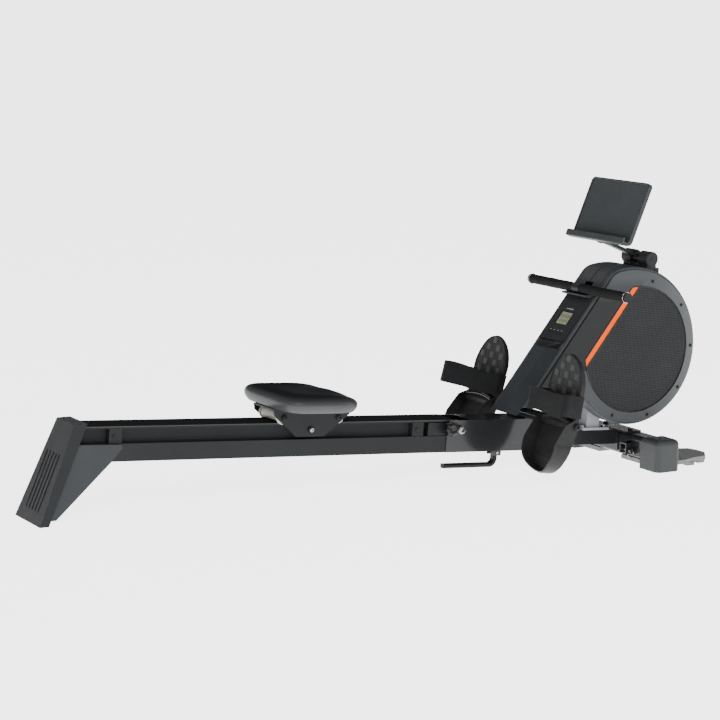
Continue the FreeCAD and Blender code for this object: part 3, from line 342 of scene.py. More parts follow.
grey_nylon = moulded("grey_nylon", (0.034, 0.036, 0.037), 0.42)
foot_nylon = moulded("storage_foot_nylon", (0.125, 0.126, 0.126), 0.45)
charcoal = moulded("charcoal_plastic", (0.0125, 0.0135, 0.0145), 0.46)
coat(["stabilizer_caps"], grey_nylon)
coat(["storage_feet"], foot_nylon)

# ---- Rear foot and its sole ----------------------------------------------------------------------
# A leaning moulded cap with five long grooves down its back face, pushed over the end of the rail. It
# stands on a black rubber sole, and the belt and the console's buttons are of the same rubber.
rubber = moulded("black_rubber", (0.012, 0.012, 0.0125), 0.6, 0.8, 500)
coat(["rear_foot"], charcoal)
coat(["rear_sole", "drive_belt"] + [f"console_button_{n}" for n in (1, 2, 3, 4)], rubber)

# ---- Gussets and release lever -------------------------------------------------------------------
# The gussets are steel plates in a satin blue-grey powder coat, welded to the rail's sides and running
# down inside the foot. The lever is a bent flat-oval tube in satin black, hung under the channel.
grey_steel = enamel("satin_grey_powder", (0.022, 0.0245, 0.026), 0.36, 0.0)
coat(["foot_gussets"], grey_steel)
coat(["release_lever"], black_steel)

# ---- Rail ----------------------------------------------------------------------------------------
# An aluminium extrusion, anodised dark grey on its sides, with a painted highlight: a paler line along the
# lip's edge.
# Its top face is a black running surface for the seat rollers. Rubber stop blocks are bolted into its
# side grooves.
rail_finish = Finish("rail_anodising", Specular_IOR_Level=0.0)
height = rail_finish.along(tuple(rail_up)) - pivot.dot(rail_up)
top_face = height > 0.0290
# Painted highlight: a paler band just under the top face, along the lip's edge.
edge = (height > 0.0270) * (height < 0.0293)
tone = rail_finish.mix(rail_finish.noise(6), (0.021, 0.022, 0.0225), (0.027, 0.028, 0.029))
tone = rail_finish.mix(edge, tone, (0.05, 0.052, 0.054))
rail_finish.colour(rail_finish.mix(top_face, tone, (0.0205, 0.0208, 0.0215)))
rail_finish.rough(0.42 + rail_finish.noise(120, 3) * 0.1 - top_face * 0.12)
rail_finish.bump(rail_finish.noise(500, 3), 0.0003, 0.3)
coat(["rail_beam"], rail_finish.material)
coat(["seat_stops"], rubber)
coat(["hinge_lugs"], black_steel)

# ---- Seat carriage and rollers -------------------------------------------------------------------
# Two pressed steel cheeks and a deck in satin black, welded together. Cream nylon rollers turn on its
# axles, on the rail's top and under its lip, and a moulded pan sits on the deck.
nylon = moulded("cream_nylon", (0.46, 0.44, 0.38), 0.34, 0.3)
coat(["seat_carriage"], black_steel)
coat(["rear_seat_roller", "front_seat_roller", "lower_seat_rollers"], nylon)
coat(["seat_pan"], charcoal)

# ---- Drum housing --------------------------------------------------------------------------------
# Two moulded half shells that meet on the middle plane, with a speckled panel between two grooves. The
# cover on each side is black ahead of its orange stripe and grey round the drum, and a painted highlight
# makes it paler the further it lies past the stripe.
throat_plastic = moulded("throat_plastic", (0.019, 0.022, 0.0245), 0.42)
coat(["throat_cover"], throat_plastic)
shield = Finish("shield_plastic", Specular_IOR_Level=0.14)
stripe_low, stripe_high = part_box("side_stripes")
shield_x, shield_z = shield.along((1, 0, 0)), shield.along((0, 0, 1))
ahead = ((shield_z - stripe_low.z) * (stripe_high.x - stripe_low.x)
         - (shield_x - stripe_low.x) * (stripe_high.z - stripe_low.z)) > -0.002
fade = (stripe_high.z + 0.030 - shield_z) * 14
tone = shield.mix(shield.noise(14, 3), (0.034, 0.038, 0.041), (0.043, 0.047, 0.050))
# Painted highlight: the cover is coloured paler the further it lies past the stripe.
tone = shield.mix(shield.limited((shield_x - stripe_high.x) * 3.2 - 0.15), tone, (0.105, 0.110, 0.113))
shield.colour(shield.mix(ahead * shield.limited(fade), tone, (0.0085, 0.009, 0.0095)))
shield.rough(0.36 + shield.noise(60, 3) * 0.12)
shield.bump(shield.noise(900, 3), 0.0005, 0.6)
coat(["left_side_cover", "right_side_cover"], shield.material)
spine = Finish("shield_spine", Specular_IOR_Level=0.16)
across = spine.node("Math", {"operation": "ABSOLUTE"}, {0: spine.along((0, 1, 0))})
panel = (across > 0.0022) * (across < 0.0545)
groove = (across < 0.0016) + (across > 0.0555) * (across < 0.0580)
speckle = spine.noise(520, 2) > 0.56
tone = spine.mix(spine.noise(14, 3), (0.034, 0.037, 0.040), (0.043, 0.046, 0.049))
tone = spine.mix(panel * speckle, tone, (0.075, 0.077, 0.079))
spine.colour(spine.mix(groove, tone, (0.002, 0.002, 0.0022)))
spine.rough(0.40 + spine.noise(60, 3) * 0.12 + panel * 0.15)
spine.bump(spine.noise(520, 2) * panel - groove * 2.0 + spine.noise(900, 3) * 0.3, 0.0006, 0.7)
coat(["left_shield", "right_shield"], spine.material)
coat(["console_bezel", "handle_rest", "tablet_bracket", "tablet_tray"], charcoal)
stripe = Finish("orange_stripe", Specular_IOR_Level=0.04)
stripe.colour(stripe.mix(stripe.noise(20), (0.78, 0.088, 0.0), (0.72, 0.080, 0.0)))
stripe.rough(stripe.noise(90) * 0.1 + 0.25)
coat(["side_stripes"], stripe.material)
coat(["cover_screws"], black_steel)
lcd = Finish("lcd_lens", Coat_Weight=0.1, Coat_Roughness=0.1, Specular_IOR_Level=0.2)
lcd.colour(lcd.mix(lcd.noise(25), (0.170, 0.186, 0.098), (0.200, 0.216, 0.118)))
lcd.rough(lcd.noise(60) * 0.05 + 0.2)
coat(["console_lens"], lcd.material)

# ---- Drive ---------------------------------------------------------------------------------------
# A turned iron flywheel and moulded pulleys, between steel plates inside the housing. The plates, the
# handle's bar and the tablet's arm have the same satin black powder coat.
iron = metal("turned_iron", (0.11, 0.11, 0.112), 0.4)
coat(["flywheel"], iron)
coat(["drive_plates", "recoil_case", "brake_arm", "handle_bar", "tablet_arm"], black_steel)
coat(["strap_roller", "drive_pulley", "strap_spool"], charcoal)
coat(["handle_grips", "drive_strap", "lock_knob", "left_foot_strap", "right_foot_strap", "seat_pad"], rubber)

# ---- Seat cushion --------------------------------------------------------------------------------
# Self-skinned polyurethane foam moulded over a tray: a full rounded rectangle, dished in the middle,
# with a raised rear lip, two thigh hollows at the front and a bulging rim. It screws to the seat pan.
seat_low, seat_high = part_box("seat_pad")
seat_middle = (seat_low + seat_high) / 2
seat_long, seat_wide, seat_thick = 0.252, 0.322, 0.044
seat_frame = Matrix.Translation(seat_middle) @ rail_frame.to_3x3().to_4x4()
rim_steps = [(0.0, 1.0), (0.2, 1.0), (0.4, 1.0), (0.55, 1.0), (0.68, 0.99), (0.78, 0.95), (0.86, 0.86),
             (0.92, 0.7), (0.96, 0.5), (0.988, 0.24), (1.0, -0.06), (0.998, -0.36), (0.985, -0.62),
             (0.965, -0.84), (0.945, -1.02), (0.925, -1.16), (0.91, -1.18), (0.9, -1.02), (0.5, -1.0)]


def rounded_rectangle(turn, half_long, half_wide, fullness):
    """A point on a superellipse."""
    c, s = math.cos(turn), math.sin(turn)
    x = half_long * math.copysign(abs(c) ** (2 / fullness), c)
    y = half_wide * math.copysign(abs(s) ** (2 / fullness), s)
    return x, y


def seat_top(x, y):
    """How far the seat's upper skin stands above or below its rim, from shares of its half sizes."""
    dish = -0.0050 * (1 - x * x) * (1 - y * y)
    lip = 0.0052 * max(0, -x - 0.35) ** 1.5 * (1 - 0.5 * y * y)
    thighs = -0.0042 * max(0, x) ** 1.4 * math.exp(-((abs(y) - 0.52) / 0.26) ** 2)
    front = -0.0035 * max(0, x - 0.4)
    return dish + lip + thighs + front


points, faces = [], []
sides = 96
seat_fullness = 4.4
skin_inset = 0.0008
for share, height in rim_steps:
    for k in range(sides):
        px, py = rounded_rectangle(2 * math.pi * (k + 0.5) / sides, 1, 1, seat_fullness)
        x, y = share * px, share * py
        rise = height * seat_thick / 2
        if height > 0:
            rise += seat_top(x, y) * min(1, height * 1.2) - 0.0012
        points.append(seat_frame @ Vector((x * (seat_long / 2 - skin_inset), y * (seat_wide / 2 - skin_inset),
                                           rise)))
for ring in range(len(rim_steps) - 1):
    for k in range(sides):
        a, b = ring * sides + k, ring * sides + (k + 1) % sides
        faces.append((a, a + sides, b + sides, b))
faces.append(tuple(range(sides)))
faces.append(tuple(reversed(range((len(rim_steps) - 1) * sides, len(rim_steps) * sides))))
seat_skin = Finish("seat_skin", Specular_IOR_Level=0.0, Coat_Roughness=0.34)
pores = {"Vector": seat_skin.spot(), "Scale": 620.0}
seat_grain = seat_skin.node("TexVoronoi", {"feature": "DISTANCE_TO_EDGE"}, pores, 0)
# Painted light: the rim is coloured paler as a painted sheen and the top darker as painted shade; the coat
# lies on the rim only.
above = seat_skin.along(tuple(rail_up)) - seat_middle.dot(rail_up)
on_top = seat_skin.limited((above - 0.005) * 80)
seat_skin.join(seat_skin.shader.inputs["Coat Weight"], 0.45 - on_top * 0.45)
rim_sheen_tone = seat_skin.mix(seat_skin.noise(18, 3), (0.033, 0.035, 0.0365), (0.042, 0.0445, 0.0465))
seat_skin.colour(seat_skin.mix(on_top, rim_sheen_tone, (0.021, 0.0225, 0.0235)))
seat_skin.rough(0.36 + seat_skin.noise(26, 3) * 0.12)
seat_skin.bump(seat_skin.noise(900, 2) * 0.6 + seat_grain * 0.5, 0.0003, 0.45)
cushion = piece("seat_cushion", points, faces, seat_skin.material, "seat", 60)
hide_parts("seat_pad")


def loop_tube(path, radius, sides=10, closed=True):
    """Points and faces of a round bead that follows a list of points."""
    points, faces = [], []
    count = len(path)
    for n, centre in enumerate(path):
        ahead = path[(n + 1) % count] if closed or n < count - 1 else path[n]
        behind = path[n - 1] if closed or n else path[n]
        axes = stand((0, 0, 0), ahead - behind)
        for k in range(sides):
            turn = 2 * math.pi * k / sides
            points.append(centre + axes @ Vector((radius * math.cos(turn), radius * math.sin(turn), 0)))
    for n in range(count if closed else count - 1):
        for k in range(sides):
            a, b = n * sides + k, n * sides + (k + 1) % sides
            c, d = (a + sides) % (count * sides), (b + sides) % (count * sides)
            faces.append((a, b, d, c))
    if not closed:
        faces.append(tuple(reversed(range(sides))))
        faces.append(tuple(range((count - 1) * sides, count * sides)))
    return points, faces


def joined(name, shapes, place, material, body, crisp=35):
    """One piece of several shapes, each moved by the same placement."""
    points, faces = [], []
    for ring, walls in shapes:
        first = len(points)
        points += [place @ Vector(p) for p in ring]
        faces += [tuple(first + v for v in wall) for wall in walls]
    return piece(name, points, faces, material, body, crisp)


def raised(outline, base, height, slope):
    """Points and faces of a low pad on the XY plane, whose top is drawn in by slope and has a soft edge."""
    middle = (sum(p[0] for p in outline) / len(outline), sum(p[1] for p in outline) / len(outline))
    points, faces = [], []
    rings = [(0, base), (0, base + height * 0.45), (slope * 0.35, base + height * 0.82),
             (slope, base + height)]
    for inset, level in rings:
        for x, y in outline:
            far = math.hypot(x - middle[0], y - middle[1])
            share = max(0.02, 1 - inset / far)
            points.append(Vector((middle[0] + (x - middle[0]) * share, middle[1] + (y - middle[1]) * share,
                                  level)))
    count = len(outline)
    for ring in range(len(rings) - 1):
        for k in range(count):
            a, b = ring * count + k, ring * count + (k + 1) % count
            faces.append((a, b, b + count, a + count))
    faces.append(tuple(reversed(range(count))))
    faces.append(tuple(range((len(rings) - 1) * count, len(rings) * count)))
    return points, faces


def pad_outline(x, y, half_x, half_y, corner, steps=5):
    """A rounded rectangle round x, y, anticlockwise."""
    outline = []
    for quarter, (sx, sy) in enumerate(((1, 1), (-1, 1), (-1, -1), (1, -1))):
        for k in range(steps + 1):
            turn = math.pi / 2 * (quarter + k / steps)
            outline.append((x + sx * (half_x - corner) + corner * math.cos(turn),
                            y + sy * (half_y - corner) + corner * math.sin(turn)))
    return outline


# ---- Roller end rings and axle nuts --------------------------------------------------------------
# Each nylon roller has a moulded collar at both ends. The axles end in domed nuts on the cheeks. The
# rail's end stops are held by a screw on each side; those screws are not made here.
roller_low, roller_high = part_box("rear_seat_roller")
roller_half = (roller_high.y - roller_low.y) / 2
collar_profile = [(0.0095, 0), (0.0155, 0), (0.0172, 0.0004), (0.0172, 0.0011), (0.0155, 0.0015),
                  (0.0095, 0.0013)]
for name in ("rear_seat_roller", "front_seat_roller"):
    low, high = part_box(name)
    centre = (low + high) / 2
    collars = []
    for side in (-1, 1):
        ring, walls = turned(collar_profile, 32)
        place = stand((0, side * roller_half, 0), (0, side, 0))
        collars.append(([place @ p for p in ring], walls))
    place = Matrix.Translation((centre.x, 0, centre.z))
    joined(name + "_collars", collars, place, nylon, name)
low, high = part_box("carriage_axles")
nut_spots = [on_rail(x, 0, z) for x, z in ((-0.600, 0.0465), (-0.424, 0.0465), (-0.512, 0.0112))]
for side, name in ((-1, "right_axle_nuts"), (1, "left_axle_nuts")):
    edge = high.y if side > 0 else low.y
    spots = [(p.x, edge - side * 0.0006, p.z) for p in nut_spots]
    bolt_heads(name, spots[:2], (0, side, 0), 0.0072, 0.0035, black_steel, "seat")
    lower_name = name.replace("axle", "lower")
    bolt_heads(lower_name, spots[2:], (0, side, 0), 0.0072, 0.0035, chrome, "seat")

# ---- Drum housing trim ---------------------------------------------------------------------------
# A black moulded bead frames each perforated disc and its stripe. It is pressed into the step round
# the side cover's recess.
face_down = Vector(joint["console_button_1_press"]["axis"])
face_up = Vector((-face_down.z, 0, face_down.x))
disc_low, disc_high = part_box("side_discs")
stripe_low, stripe_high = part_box("side_stripes")
disc_radius = 0.1935
disc_centre = Vector((disc_high.x - disc_radius, 0, disc_low.z + disc_radius))
stripe_middle = 0.129
stripe_half = 0.009
bead_gloss = enamel("black_bead", (0.004, 0.004, 0.0045), 0.2, 0.4)


def on_disc(across, along, out):
    """A point on the disc: across towards the stripe, along the stripe, and out from the middle plane."""
    return disc_centre - face_down * across + face_up * along + Vector((0, out, 0))


for side, name in ((-1, "right_disc_bead"), (1, "left_disc_bead")):
    out = side * (disc_high.y + 0.0002)
    shapes = []
    edge = stripe_middle - stripe_half - 0.0008
    reach = disc_radius + 0.0003
    stop = math.acos(edge / reach)
    arc = [on_disc(reach * math.cos(a), reach * math.sin(a), out)
           for a in (stop + (2 * math.pi - 2 * stop) * k / 120 for k in range(121))]
    shapes.append(loop_tube(arc, 0.0021, 8))
    far_edge = edge + 2 * stripe_half + 0.0016
    far_reach = math.sqrt(reach ** 2 - far_edge ** 2)
    short = [on_disc(far_edge, far_reach * k, out) for k in (1, 0.5, 0, -0.5, -1)]
    for end in (-1, 1):
        bow = [on_disc(reach * math.cos(a), end * reach * math.sin(a), out)
               for a in (stop - (stop - math.acos(far_edge / reach)) * k / 6 for k in range(7))]
        shapes.append(loop_tube(bow, 0.0018, 8, closed=False))
    shapes.append(loop_tube(short, 0.0018, 8, closed=False))
    joined(name, shapes, Matrix(), bead_gloss, "frame")

# ---- Perforated side discs -----------------------------------------------------------------------
# Thin moulded discs of dark satin plastic, seated in the side covers' recesses. A fine diagonal
# pattern of blind holes covers them.
perforated = Finish("perforated_panel", Specular_IOR_Level=0.12)
pitch = 0.0074
slant = math.sqrt(0.5)
wave_a = perforated.sine(perforated.along((slant, 0, slant)) * (2 * math.pi / pitch))
wave_b = perforated.sine(perforated.along((-slant, 0, slant)) * (2 * math.pi / pitch))
hole = (wave_a * wave_b) > 0.35
tone = perforated.mix(perforated.noise(12), (0.013, 0.0138, 0.0146), (0.020, 0.0208, 0.022))
# Painted shade: the blind holes are coloured near black for the shade inside them.
perforated.colour(perforated.mix(hole, tone, (0.0012, 0.0012, 0.0014)))
perforated.rough(0.42 + perforated.noise(50) * 0.1 + hole * 0.3)
perforated.bump(1 - hole * 1.0 + perforated.noise(900) * 0.15, 0.0006, 0.8)
coat(["side_discs"], perforated.material)

# ---- Cover screws --------------------------------------------------------------------------------
# Satin black steel socket screws in a ring round the drum hold each side cover to its shell. Their low
# heads stand on the cover's face.
low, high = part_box("left_shield")
screw_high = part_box("cover_screws")[1]
drum_radius, drum_height, screw_circle, screw_sunk = 0.234, 0.350, 0.214, 0.0013
drum = Vector((high.x - drum_radius, 0, drum_height))
for side, name in ((-1, "right_cover_screws"), (1, "left_cover_screws")):
    spots = []
    for degrees in (75, 37, 0, -37, -75, -112):
        turn = math.radians(degrees)
        spots.append((drum.x + screw_circle * math.cos(turn), side * (screw_high.y - screw_sunk),
                      drum.z + screw_circle * math.sin(turn)))
    screws = bolt_heads(name, spots, (0, side, 0), 0.0052, 0.0022, black_steel, "frame")
    if side < 0:
        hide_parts("cover_screws")

# ---- Console -------------------------------------------------------------------------------------
# A moulded bezel round a liquid-crystal display, four rubber buttons, and a gloss black plate under it,
# painted shade standing for the shaded recess there. The display shows plain bar digits behind a tinted lens;
# a pale dash and four small marks are printed on.
lens_low, lens_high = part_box("console_lens")
lens_middle = (lens_low + lens_high) / 2
face_axes = Matrix((face_up, side_ways, -face_down)).transposed()
face_frame = Matrix.Translation(lens_middle) @ face_axes.to_4x4()
lens_top = 0.0009
ink = Finish("display_ink", Coat_Weight=0.6, Coat_Roughness=0.05)
ink.colour(ink.mix(ink.noise(60), (0.020, 0.022, 0.018), (0.030, 0.033, 0.027)))
ink.rough(ink.noise(90) * 0.1 + 0.3)
marks = Finish("printed_white", Specular_IOR_Level=0.4)
marks.colour(marks.mix(marks.noise(60), (0.20, 0.205, 0.21), (0.26, 0.265, 0.27)))
marks.rough(marks.noise(120) * 0.1 + 0.4)


def stroke(x, y, half_x, half_y):
    """One bar of a digit."""
    return raised(pad_outline(x, y, half_x, half_y, 0.0004, 2), 0, 0.00025, 0.0002)


digits = []
for row, tall in ((0.008, 0.0105), (-0.009, 0.0078)):
    bar, thin = tall * 0.40, 0.0009
    for y in (0.016, 0.0055, -0.0055, -0.016):
        digits += [stroke(row + rise, y, thin, bar * 0.7) for rise in (tall / 2, 0, -tall / 2)]
        for step in (-1, 1):
            digits += [stroke(row + rise, y + step * bar, bar * 0.45, thin) for rise in (tall / 4, -tall / 4)]
on_lens = face_frame @ Matrix.Translation((0, 0, lens_top))
joined("display_digits", digits, on_lens, ink.material, "frame")
prints = [raised(pad_outline(0.034, 0, 0.0016, 0.017, 0.0012, 3), 0, 0.0004, 0.0003)]
for y in (0.027, 0.009, -0.009, -0.027):
    prints.append(raised(pad_outline(-0.0445, y, 0.0009, 0.0032, 0.0006, 3), 0, 0.0004, 0.0003))
on_bezel = face_frame @ Matrix.Translation((0, 0, 0.0020))
joined("console_prints", prints, on_bezel, marks.material, "frame")
# Painted shade: a thin gloss black plate on the shell stands for the dark recess under the bezel.
shade_plate_middle = -(0.2315 - 0.1345)
recess = [raised(pad_outline(shade_plate_middle, 0, 0.0175, 0.057, 0.004, 4), 0, 0.0016, 0.0012)]
on_shell = face_frame @ Matrix.Translation((0, 0, -0.0033))
joined("console_shade_plate", recess, on_shell, bead_gloss, "frame")
rim = [face_frame @ Vector((x, y, 0.0019)) for x, y in pad_outline(0, 0, 0.0235, 0.0285, 0.003, 4)]
ring, walls = loop_tube(rim, 0.0008, 8)
piece("display_rim", ring, walls, bead_gloss, "frame")

# ---- Handle grips --------------------------------------------------------------------------------
# Closed-cell foam sleeves pushed over the steel bar from both ends, up to the yoke in the middle. A
# bright plated ring finishes each outer end.
grip_low, grip_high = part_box("handle_grips")
bar_x, bar_z = (grip_low.x + grip_high.x) / 2, (grip_low.z + grip_high.z) / 2
grip_radius = (grip_high.z - grip_low.z) / 2
foam = Finish("grip_foam", Specular_IOR_Level=0.08)
foam.colour(foam.mix(foam.noise(60, 3), (0.0055, 0.0056, 0.0058), (0.011, 0.011, 0.0115)))
foam.rough(0.72 + foam.noise(200, 3) * 0.16)
foam.bump(foam.noise(1100, 3) + foam.noise(90) * 0.5, 0.0006, 0.7)
inner_end, outer_end, bar_radius = 0.0174, grip_high.y, 0.0112
bright_ring = metal("bright_ring", (0.34, 0.34, 0.345), 0.2)
for side, name in ((-1, "right"), (1, "left")):
    profile = []
    for k in range(25):
        share = k / 24
        crown = 1 - 0.05 * (2 * share - 1) ** 8 - 0.012 * math.cos(share * 6 * math.pi)
        profile.append((grip_radius * 0.985 * crown, inner_end + (outer_end - 0.0062 - inner_end) * share))
    profile = [(bar_radius, inner_end)] + profile + [(bar_radius, outer_end - 0.0062)]
    ring, walls = turned(profile, 40)
    axes = stand((bar_x, 0, bar_z), (0, side, 0))
    sleeve = piece(name + "_grip_sleeve", [axes @ p for p in ring], walls, foam.material, "handle")
    end_profile = [(0.0114, -0.0058), (0.0160, -0.0058), (0.0165, -0.0054), (0.0165, -0.0040),
                   (0.0160, -0.0036), (0.0114, -0.0036)]
    ring, walls = turned([(r, h + outer_end) for r, h in end_profile], 40)
    piece(name + "_grip_ring", [axes @ p for p in ring], walls, bright_ring, "handle")
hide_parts("handle_grips")


# ---- Webbing -------------------------------------------------------------------------------------
# Woven polyester tape. A twill runs along each band, the edges are bound, and the drive strap leaves
# the handle's yoke, runs over the roller behind the slot and winds on the spool.
def webbing(name, along_axis, across_axis, colour):
    """Woven tape whose ribs run between two directions of the machine."""
    made = Finish(name, Specular_IOR_Level=0.1, Sheen_Weight=0.05, Sheen_Roughness=0.4)
    warp, weft = made.along(along_axis), made.along(across_axis)
    ribs = made.sine((warp + weft) * 3900.0)
    cords = made.sine(weft * 5200.0)
    height = ribs * 0.5 + cords * 0.35 + made.noise(500, 2) * 0.4
    made.colour(made.mix(made.noise(40, 3), colour, tuple(1.7 * c for c in colour)))
    made.rough(0.62 + made.noise(90) * 0.14)
    made.bump(height, 0.0006, 0.6)
    return made.material


def ribbon(path, half_wide, thick):
    """Points and faces of a flat band with bound edges: path holds (centre, outward, width) directions."""
    points, faces = [], []
    section = [(-1, -1), (-0.97, -1.25), (0, -1), (0.97, -1.25), (1, -1),
               (1, 1), (0.97, 1.25), (0, 1), (-0.97, 1.25), (-1, 1)]
    count = len(section)
    for centre, outward, width in path:
        for u, v in section:
            points.append(centre + width * (u * half_wide) + outward * (v * thick / 2))
    for n in range(len(path) - 1):
        for k in range(count):
            a, b = n * count + k, n * count + (k + 1) % count
            faces.append((a, b, b + count, a + count))
    return points, faces


def closed_ribbon(path, half_wide, thick):
    """A ribbon whose end is sewn to its start."""
    points, faces = ribbon(path, half_wide, thick)
    count = len(points) // len(path)
    last = (len(path) - 1) * count
    faces += [(last + k, last + (k + 1) % count, (k + 1) % count, k) for k in range(count)]
    return points, faces


roller_spot = Vector(joint["strap_roller_spin"]["pos_m"])
spool_spot = Vector(joint["strap_spool_spin"]["pos_m"])
strap_tape = webbing("drive_webbing", (1, 0, 0.2), (0, 1, 0), (0.010, 0.0102, 0.0108))
roller_r, spool_r = 0.0151, 0.0371
tape_start = bar_x + 0.0136
route = []
for k in range(9):
    x = tape_start + (roller_spot.x - tape_start) * k / 8
    route.append((Vector((x, 0, roller_spot.z + roller_r)), Vector((0, 0, 1)), side_ways))
gap = spool_spot - roller_spot
swing = math.acos((roller_r - spool_r) / gap.length)
leave = math.atan2(gap.z, gap.x) + swing
bends = ((roller_spot, roller_r, math.pi / 2, leave), (spool_spot, spool_r, leave, leave - math.pi / 3))
for centre, radius, first, last in bends:
    for k in range(9):
        turn = first + (last - first) * k / 8
        outward = Vector((math.cos(turn), 0, math.sin(turn)))
        route.append((centre + outward * radius, outward, side_ways))
ring, walls = ribbon(route, 0.0138, 0.0012)
count = len(ring) // len(route)
walls.append(tuple(reversed(range(count))))
walls.append(tuple(range(len(ring) - count, len(ring))))
drive_tape = piece("drive_tape", ring, walls, strap_tape, None, 50)
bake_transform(drive_tape)
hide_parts("drive_strap")

# ---- Pedals --------------------------------------------------------------------------------------
# Moulded footplates with a heel tub. Staggered square treads stand on the sole, and an arched rib covers
# the axle, polished on the left pedal. A wide webbing band goes round each sole, and stands open for the
# foot.
pedal_plastic = Finish("pedal_plastic", Specular_IOR_Level=0.1)
scuff = pedal_plastic.noise(34, 5)
pedal_plastic.colour(pedal_plastic.mix(scuff, (0.0085, 0.0086, 0.0086), (0.024, 0.0245, 0.0245)))
pedal_plastic.rough(0.30 + scuff * 0.28)
pedal_plastic.bump(pedal_plastic.noise(700, 3) + pedal_plastic.noise(45, 2) * 0.8, 0.0006, 0.5)
coat(["left_pedal", "right_pedal"], pedal_plastic.material)
tread = Finish("pedal_tread", Specular_IOR_Level=0.1)
tread.colour(tread.mix(tread.noise(60, 3), (0.032, 0.033, 0.034), (0.050, 0.051, 0.052)))
tread.rough(0.42 + tread.noise(160, 3) * 0.2)
tread.bump(tread.noise(900, 3), 0.0004, 0.6)
rib_gloss = enamel("polished_rib", (0.008, 0.008, 0.0085), 0.14, 0.5)
LEANS = {"left": 15.5, "right": 9.2}
CORNERS = {"left": (-0.135, -0.014), "right": (-0.057, -0.078)}
band_edge = 0.0817
sole_half, toe_top, sole_wide = 0.007, 0.204, 0.078
bow_start, rim, band_height = 0.094, 0.004, 0.057


def sole_room(z):
    """Half the sole's width at a height above the axle."""
    return sole_wide * math.sqrt(max(0, 1 - max(0, (z - 0.088) / (toe_top - 0.086)) ** 2.3))


for side, out in (("left", 1), ("right", -1)):
    hinge = Vector(joint[side + "_pedal_tilt"]["pos_m"])
    pedal_frame = Matrix.Translation(hinge) @ Matrix.Rotation(math.radians(LEANS[side]), 4, "Y")
    out_of_sole = pedal_frame @ Matrix(((0, 0, -1, -sole_half), (1, 0, 0, 0), (0, -1, 0, 0), (0, 0, 0, 1)))
    treads = []
    for row in range(8):
        z = 0.190 - 0.0235 * row
        for column in range(-3, 4):
            y = 0.0245 * column
            if (row + column) % 2 == 0 and abs(y) + 0.0105 < sole_room(z + 0.006) - 0.004:
                treads.append(raised(pad_outline(y, -z, 0.0098, 0.0098, 0.003, 3), 0, 0.0016, 0.0014))
    joined(side + "_pedal_treads", treads, out_of_sole, tread.material, side + "_pedal")
    rib = []
    for k in range(33):
        y = -0.066 + 0.132 * k / 32
        rise = 0.0085 * (1 - (2 * k / 32 - 1) ** 2)
        rib.append(pedal_frame @ Vector((-0.0160, y, 0.008 + rise)))
    ring, walls = loop_tube(rib, 0.0062, 12, closed=False)
    rib_finish = rib_gloss if side == "left" else pedal_plastic.material
    piece(side + "_pedal_rib", ring, walls, rib_finish, side + "_pedal")
    bead = []
    for k in range(61):
        turn = math.pi * k / 60
        y, z = rounded_rectangle(turn, 1, 1, 2.2)
        bead.append(pedal_frame @ Vector((-sole_half - 0.0002, (sole_wide - rim) * y,
                                          bow_start + (toe_top - bow_start - rim) * z)))
    ring, walls = loop_tube(bead, 0.0016, 8, closed=False)
    piece(side + "_pedal_bead", ring, walls, pedal_plastic.material, side + "_pedal")
    outer_x, inner_x = CORNERS[side]
    corners = [(sole_half + 0.0013, out * band_edge, 0.003), (outer_x, out * band_edge, 0.013),
               (inner_x, -out * band_edge, 0.013), (sole_half + 0.0013, -out * band_edge, 0.003)]
    walk = []
    for n, (x, y, radius) in enumerate(corners):
        here = Vector((x, y, 0))
        arms = [(Vector((q[0], q[1], 0)) - here).normalized() for q in (corners[n - 1], corners[(n + 1) % 4])]
        half_turn = arms[0].angle(arms[1]) / 2
        middle = here + (arms[0] + arms[1]).normalized() * (radius / math.sin(half_turn))
        first = (here + arms[0] * (radius / math.tan(half_turn))) - middle
        last = (here + arms[1] * (radius / math.tan(half_turn))) - middle
        for k in range(7):
            outward = first.lerp(last, k / 6).normalized()
            walk.append((middle + outward * radius, outward))
    path = []
    for n, (spot, outward) in enumerate(walk):
        following, next_outward = walk[(n + 1) % len(walk)]
        stretch = (following - spot).length
        pieces = max(1, round(stretch / 0.012))
        for k in range(pieces):
            share = k / pieces
            place = spot.lerp(following, share)
            facing = outward.lerp(next_outward, share).normalized()
            front = min(1, max(0, (-0.008 - place.x) / 0.03))
            sag = front * 0.0035 * math.sin(place.y * 42)
            hollow = -0.0016 * front * math.sin(math.pi * share)
            place = place + Vector((0, 0, band_height + sag)) + facing * hollow
            tilt = front * 0.05 * math.sin(place.y * 30 + 0.6)
            width = (Vector((0, 0, 1)) + facing * tilt).normalized()
            path.append((pedal_frame @ place, pedal_frame.to_3x3() @ facing, pedal_frame.to_3x3() @ width))
    ring, walls = closed_ribbon(path, 0.0325, 0.0021)
    tape = webbing(side + "_foot_webbing", (0.5, 1, 0.1), (0.1, 0, 1), (0.0075, 0.0078, 0.0082))
    band = piece(side + "_foot_band", ring, walls, tape, side + "_pedal", 50)
    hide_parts(side + "_foot_strap")

# ---- Locking knob --------------------------------------------------------------------------------
# A moulded phenolic star knob with eight soft lobes, on a steel stud. It is screwed through the channel
# into the rail's end.
knob_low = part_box("lock_knob")[0]
knob_axis = Vector(joint["lock_knob_turn"]["pos_m"])
knob_face = knob_low.y
phenolic = enamel("knob_phenolic", (0.0065, 0.0065, 0.007), 0.2, 0.3)


def lobed(turn, radius):
    """Eight lobes on the knob's rim, none on its stud."""
    return 1 + 0.085 * math.cos(8 * turn) * min(1, max(0, (radius - 0.010) / 0.008))


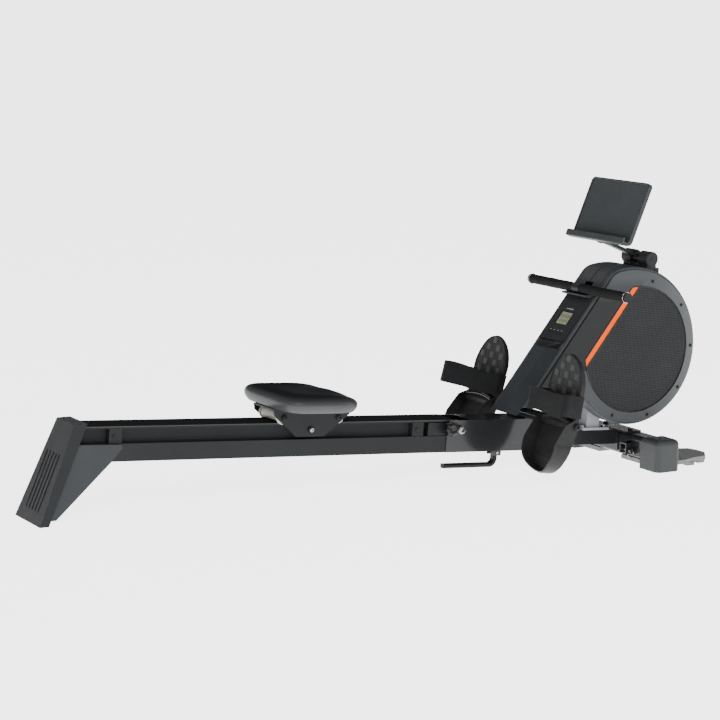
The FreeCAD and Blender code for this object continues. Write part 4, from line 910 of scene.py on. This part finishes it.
knob_profile = [(0.0048, 0.062), (0.0048, 0.0205), (0.009, 0.0203), (0.0105, 0.0188), (0.0185, 0.018),
                (0.0212, 0.0155), (0.0216, 0.008), (0.0206, 0.0035), (0.0175, 0.0012), (0.0120, 0.0004),
                (0.0100, 0.0018), (0.0020, 0.0022)]
ring, walls = turned(knob_profile, 64, lobed)
knob_place = stand((knob_axis.x, knob_face, knob_axis.z), (0, 1, 0))
walls = [tuple(reversed(wall)) for wall in walls]
knob_mesh = piece("star_knob", [knob_place @ p for p in ring], walls, phenolic, "lock_knob")
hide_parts("lock_knob")

# ---- Tablet holder -------------------------------------------------------------------------------
# A moulded tray with a bead round its panel and a rubber strip in the ledge, on a flat steel arm. Ribbed
# end plates close the hinge barrel.
tray_hinge = Vector(joint["tablet_tray_tilt"]["pos_m"])
tray_lean = math.radians(22.5)
tray_frame = Matrix.Translation(tray_hinge) @ Matrix.Rotation(tray_lean, 4, "Y")
tray_half, tray_high, panel_x = 0.1425, 0.193, -0.022
middle_z = (tray_high - 0.004) / 2
tray_edge = [tray_frame @ Vector((panel_x + 0.0006, y, middle_z + z))
             for y, z in pad_outline(0, 0, tray_half - 0.004, tray_high / 2 - 0.002, 0.012, 6)]
ring, walls = loop_tube(tray_edge, 0.0017, 8)
tray_plastic = moulded("tray_plastic", (0.026, 0.0285, 0.030), 0.4)
piece("tray_edge_bead", ring, walls, tray_plastic, "tablet_tray")
grip_strip = []
for k in range(27):
    y = -0.13 + 0.01 * k
    grip_strip.append(raised(pad_outline(y, -0.030, 0.0036, 0.0062, 0.0012, 2), 0.0008, 0.0014, 0.0008))
on_ledge = tray_frame @ Matrix(((0, 1, 0, 0), (1, 0, 0, 0), (0, 0, 1, 0), (0, 0, 0, 1)))
joined("tray_grip_strip", grip_strip, on_ledge, rubber, "tablet_tray")
coat(["tablet_tray"], tray_plastic)
barrel = Vector(joint["tablet_arm_tilt"]["pos_m"])
barrel_half = 0.0619
cap_profile = [(0.0225, 0), (0.0222, 0.0012), (0.0205, 0.0020), (0.0185, 0.0020), (0.0178, 0.0012),
               (0.0060, 0.0014), (0.0052, 0.0026), (0.0020, 0.0028)]
for side, name in ((-1, "right_barrel_cap"), (1, "left_barrel_cap")):
    ring, walls = turned(cap_profile, 40)
    axes = stand((barrel.x, side * barrel_half, barrel.z), (0, side, 0))
    piece(name, [axes @ p for p in ring], walls, charcoal, "frame")
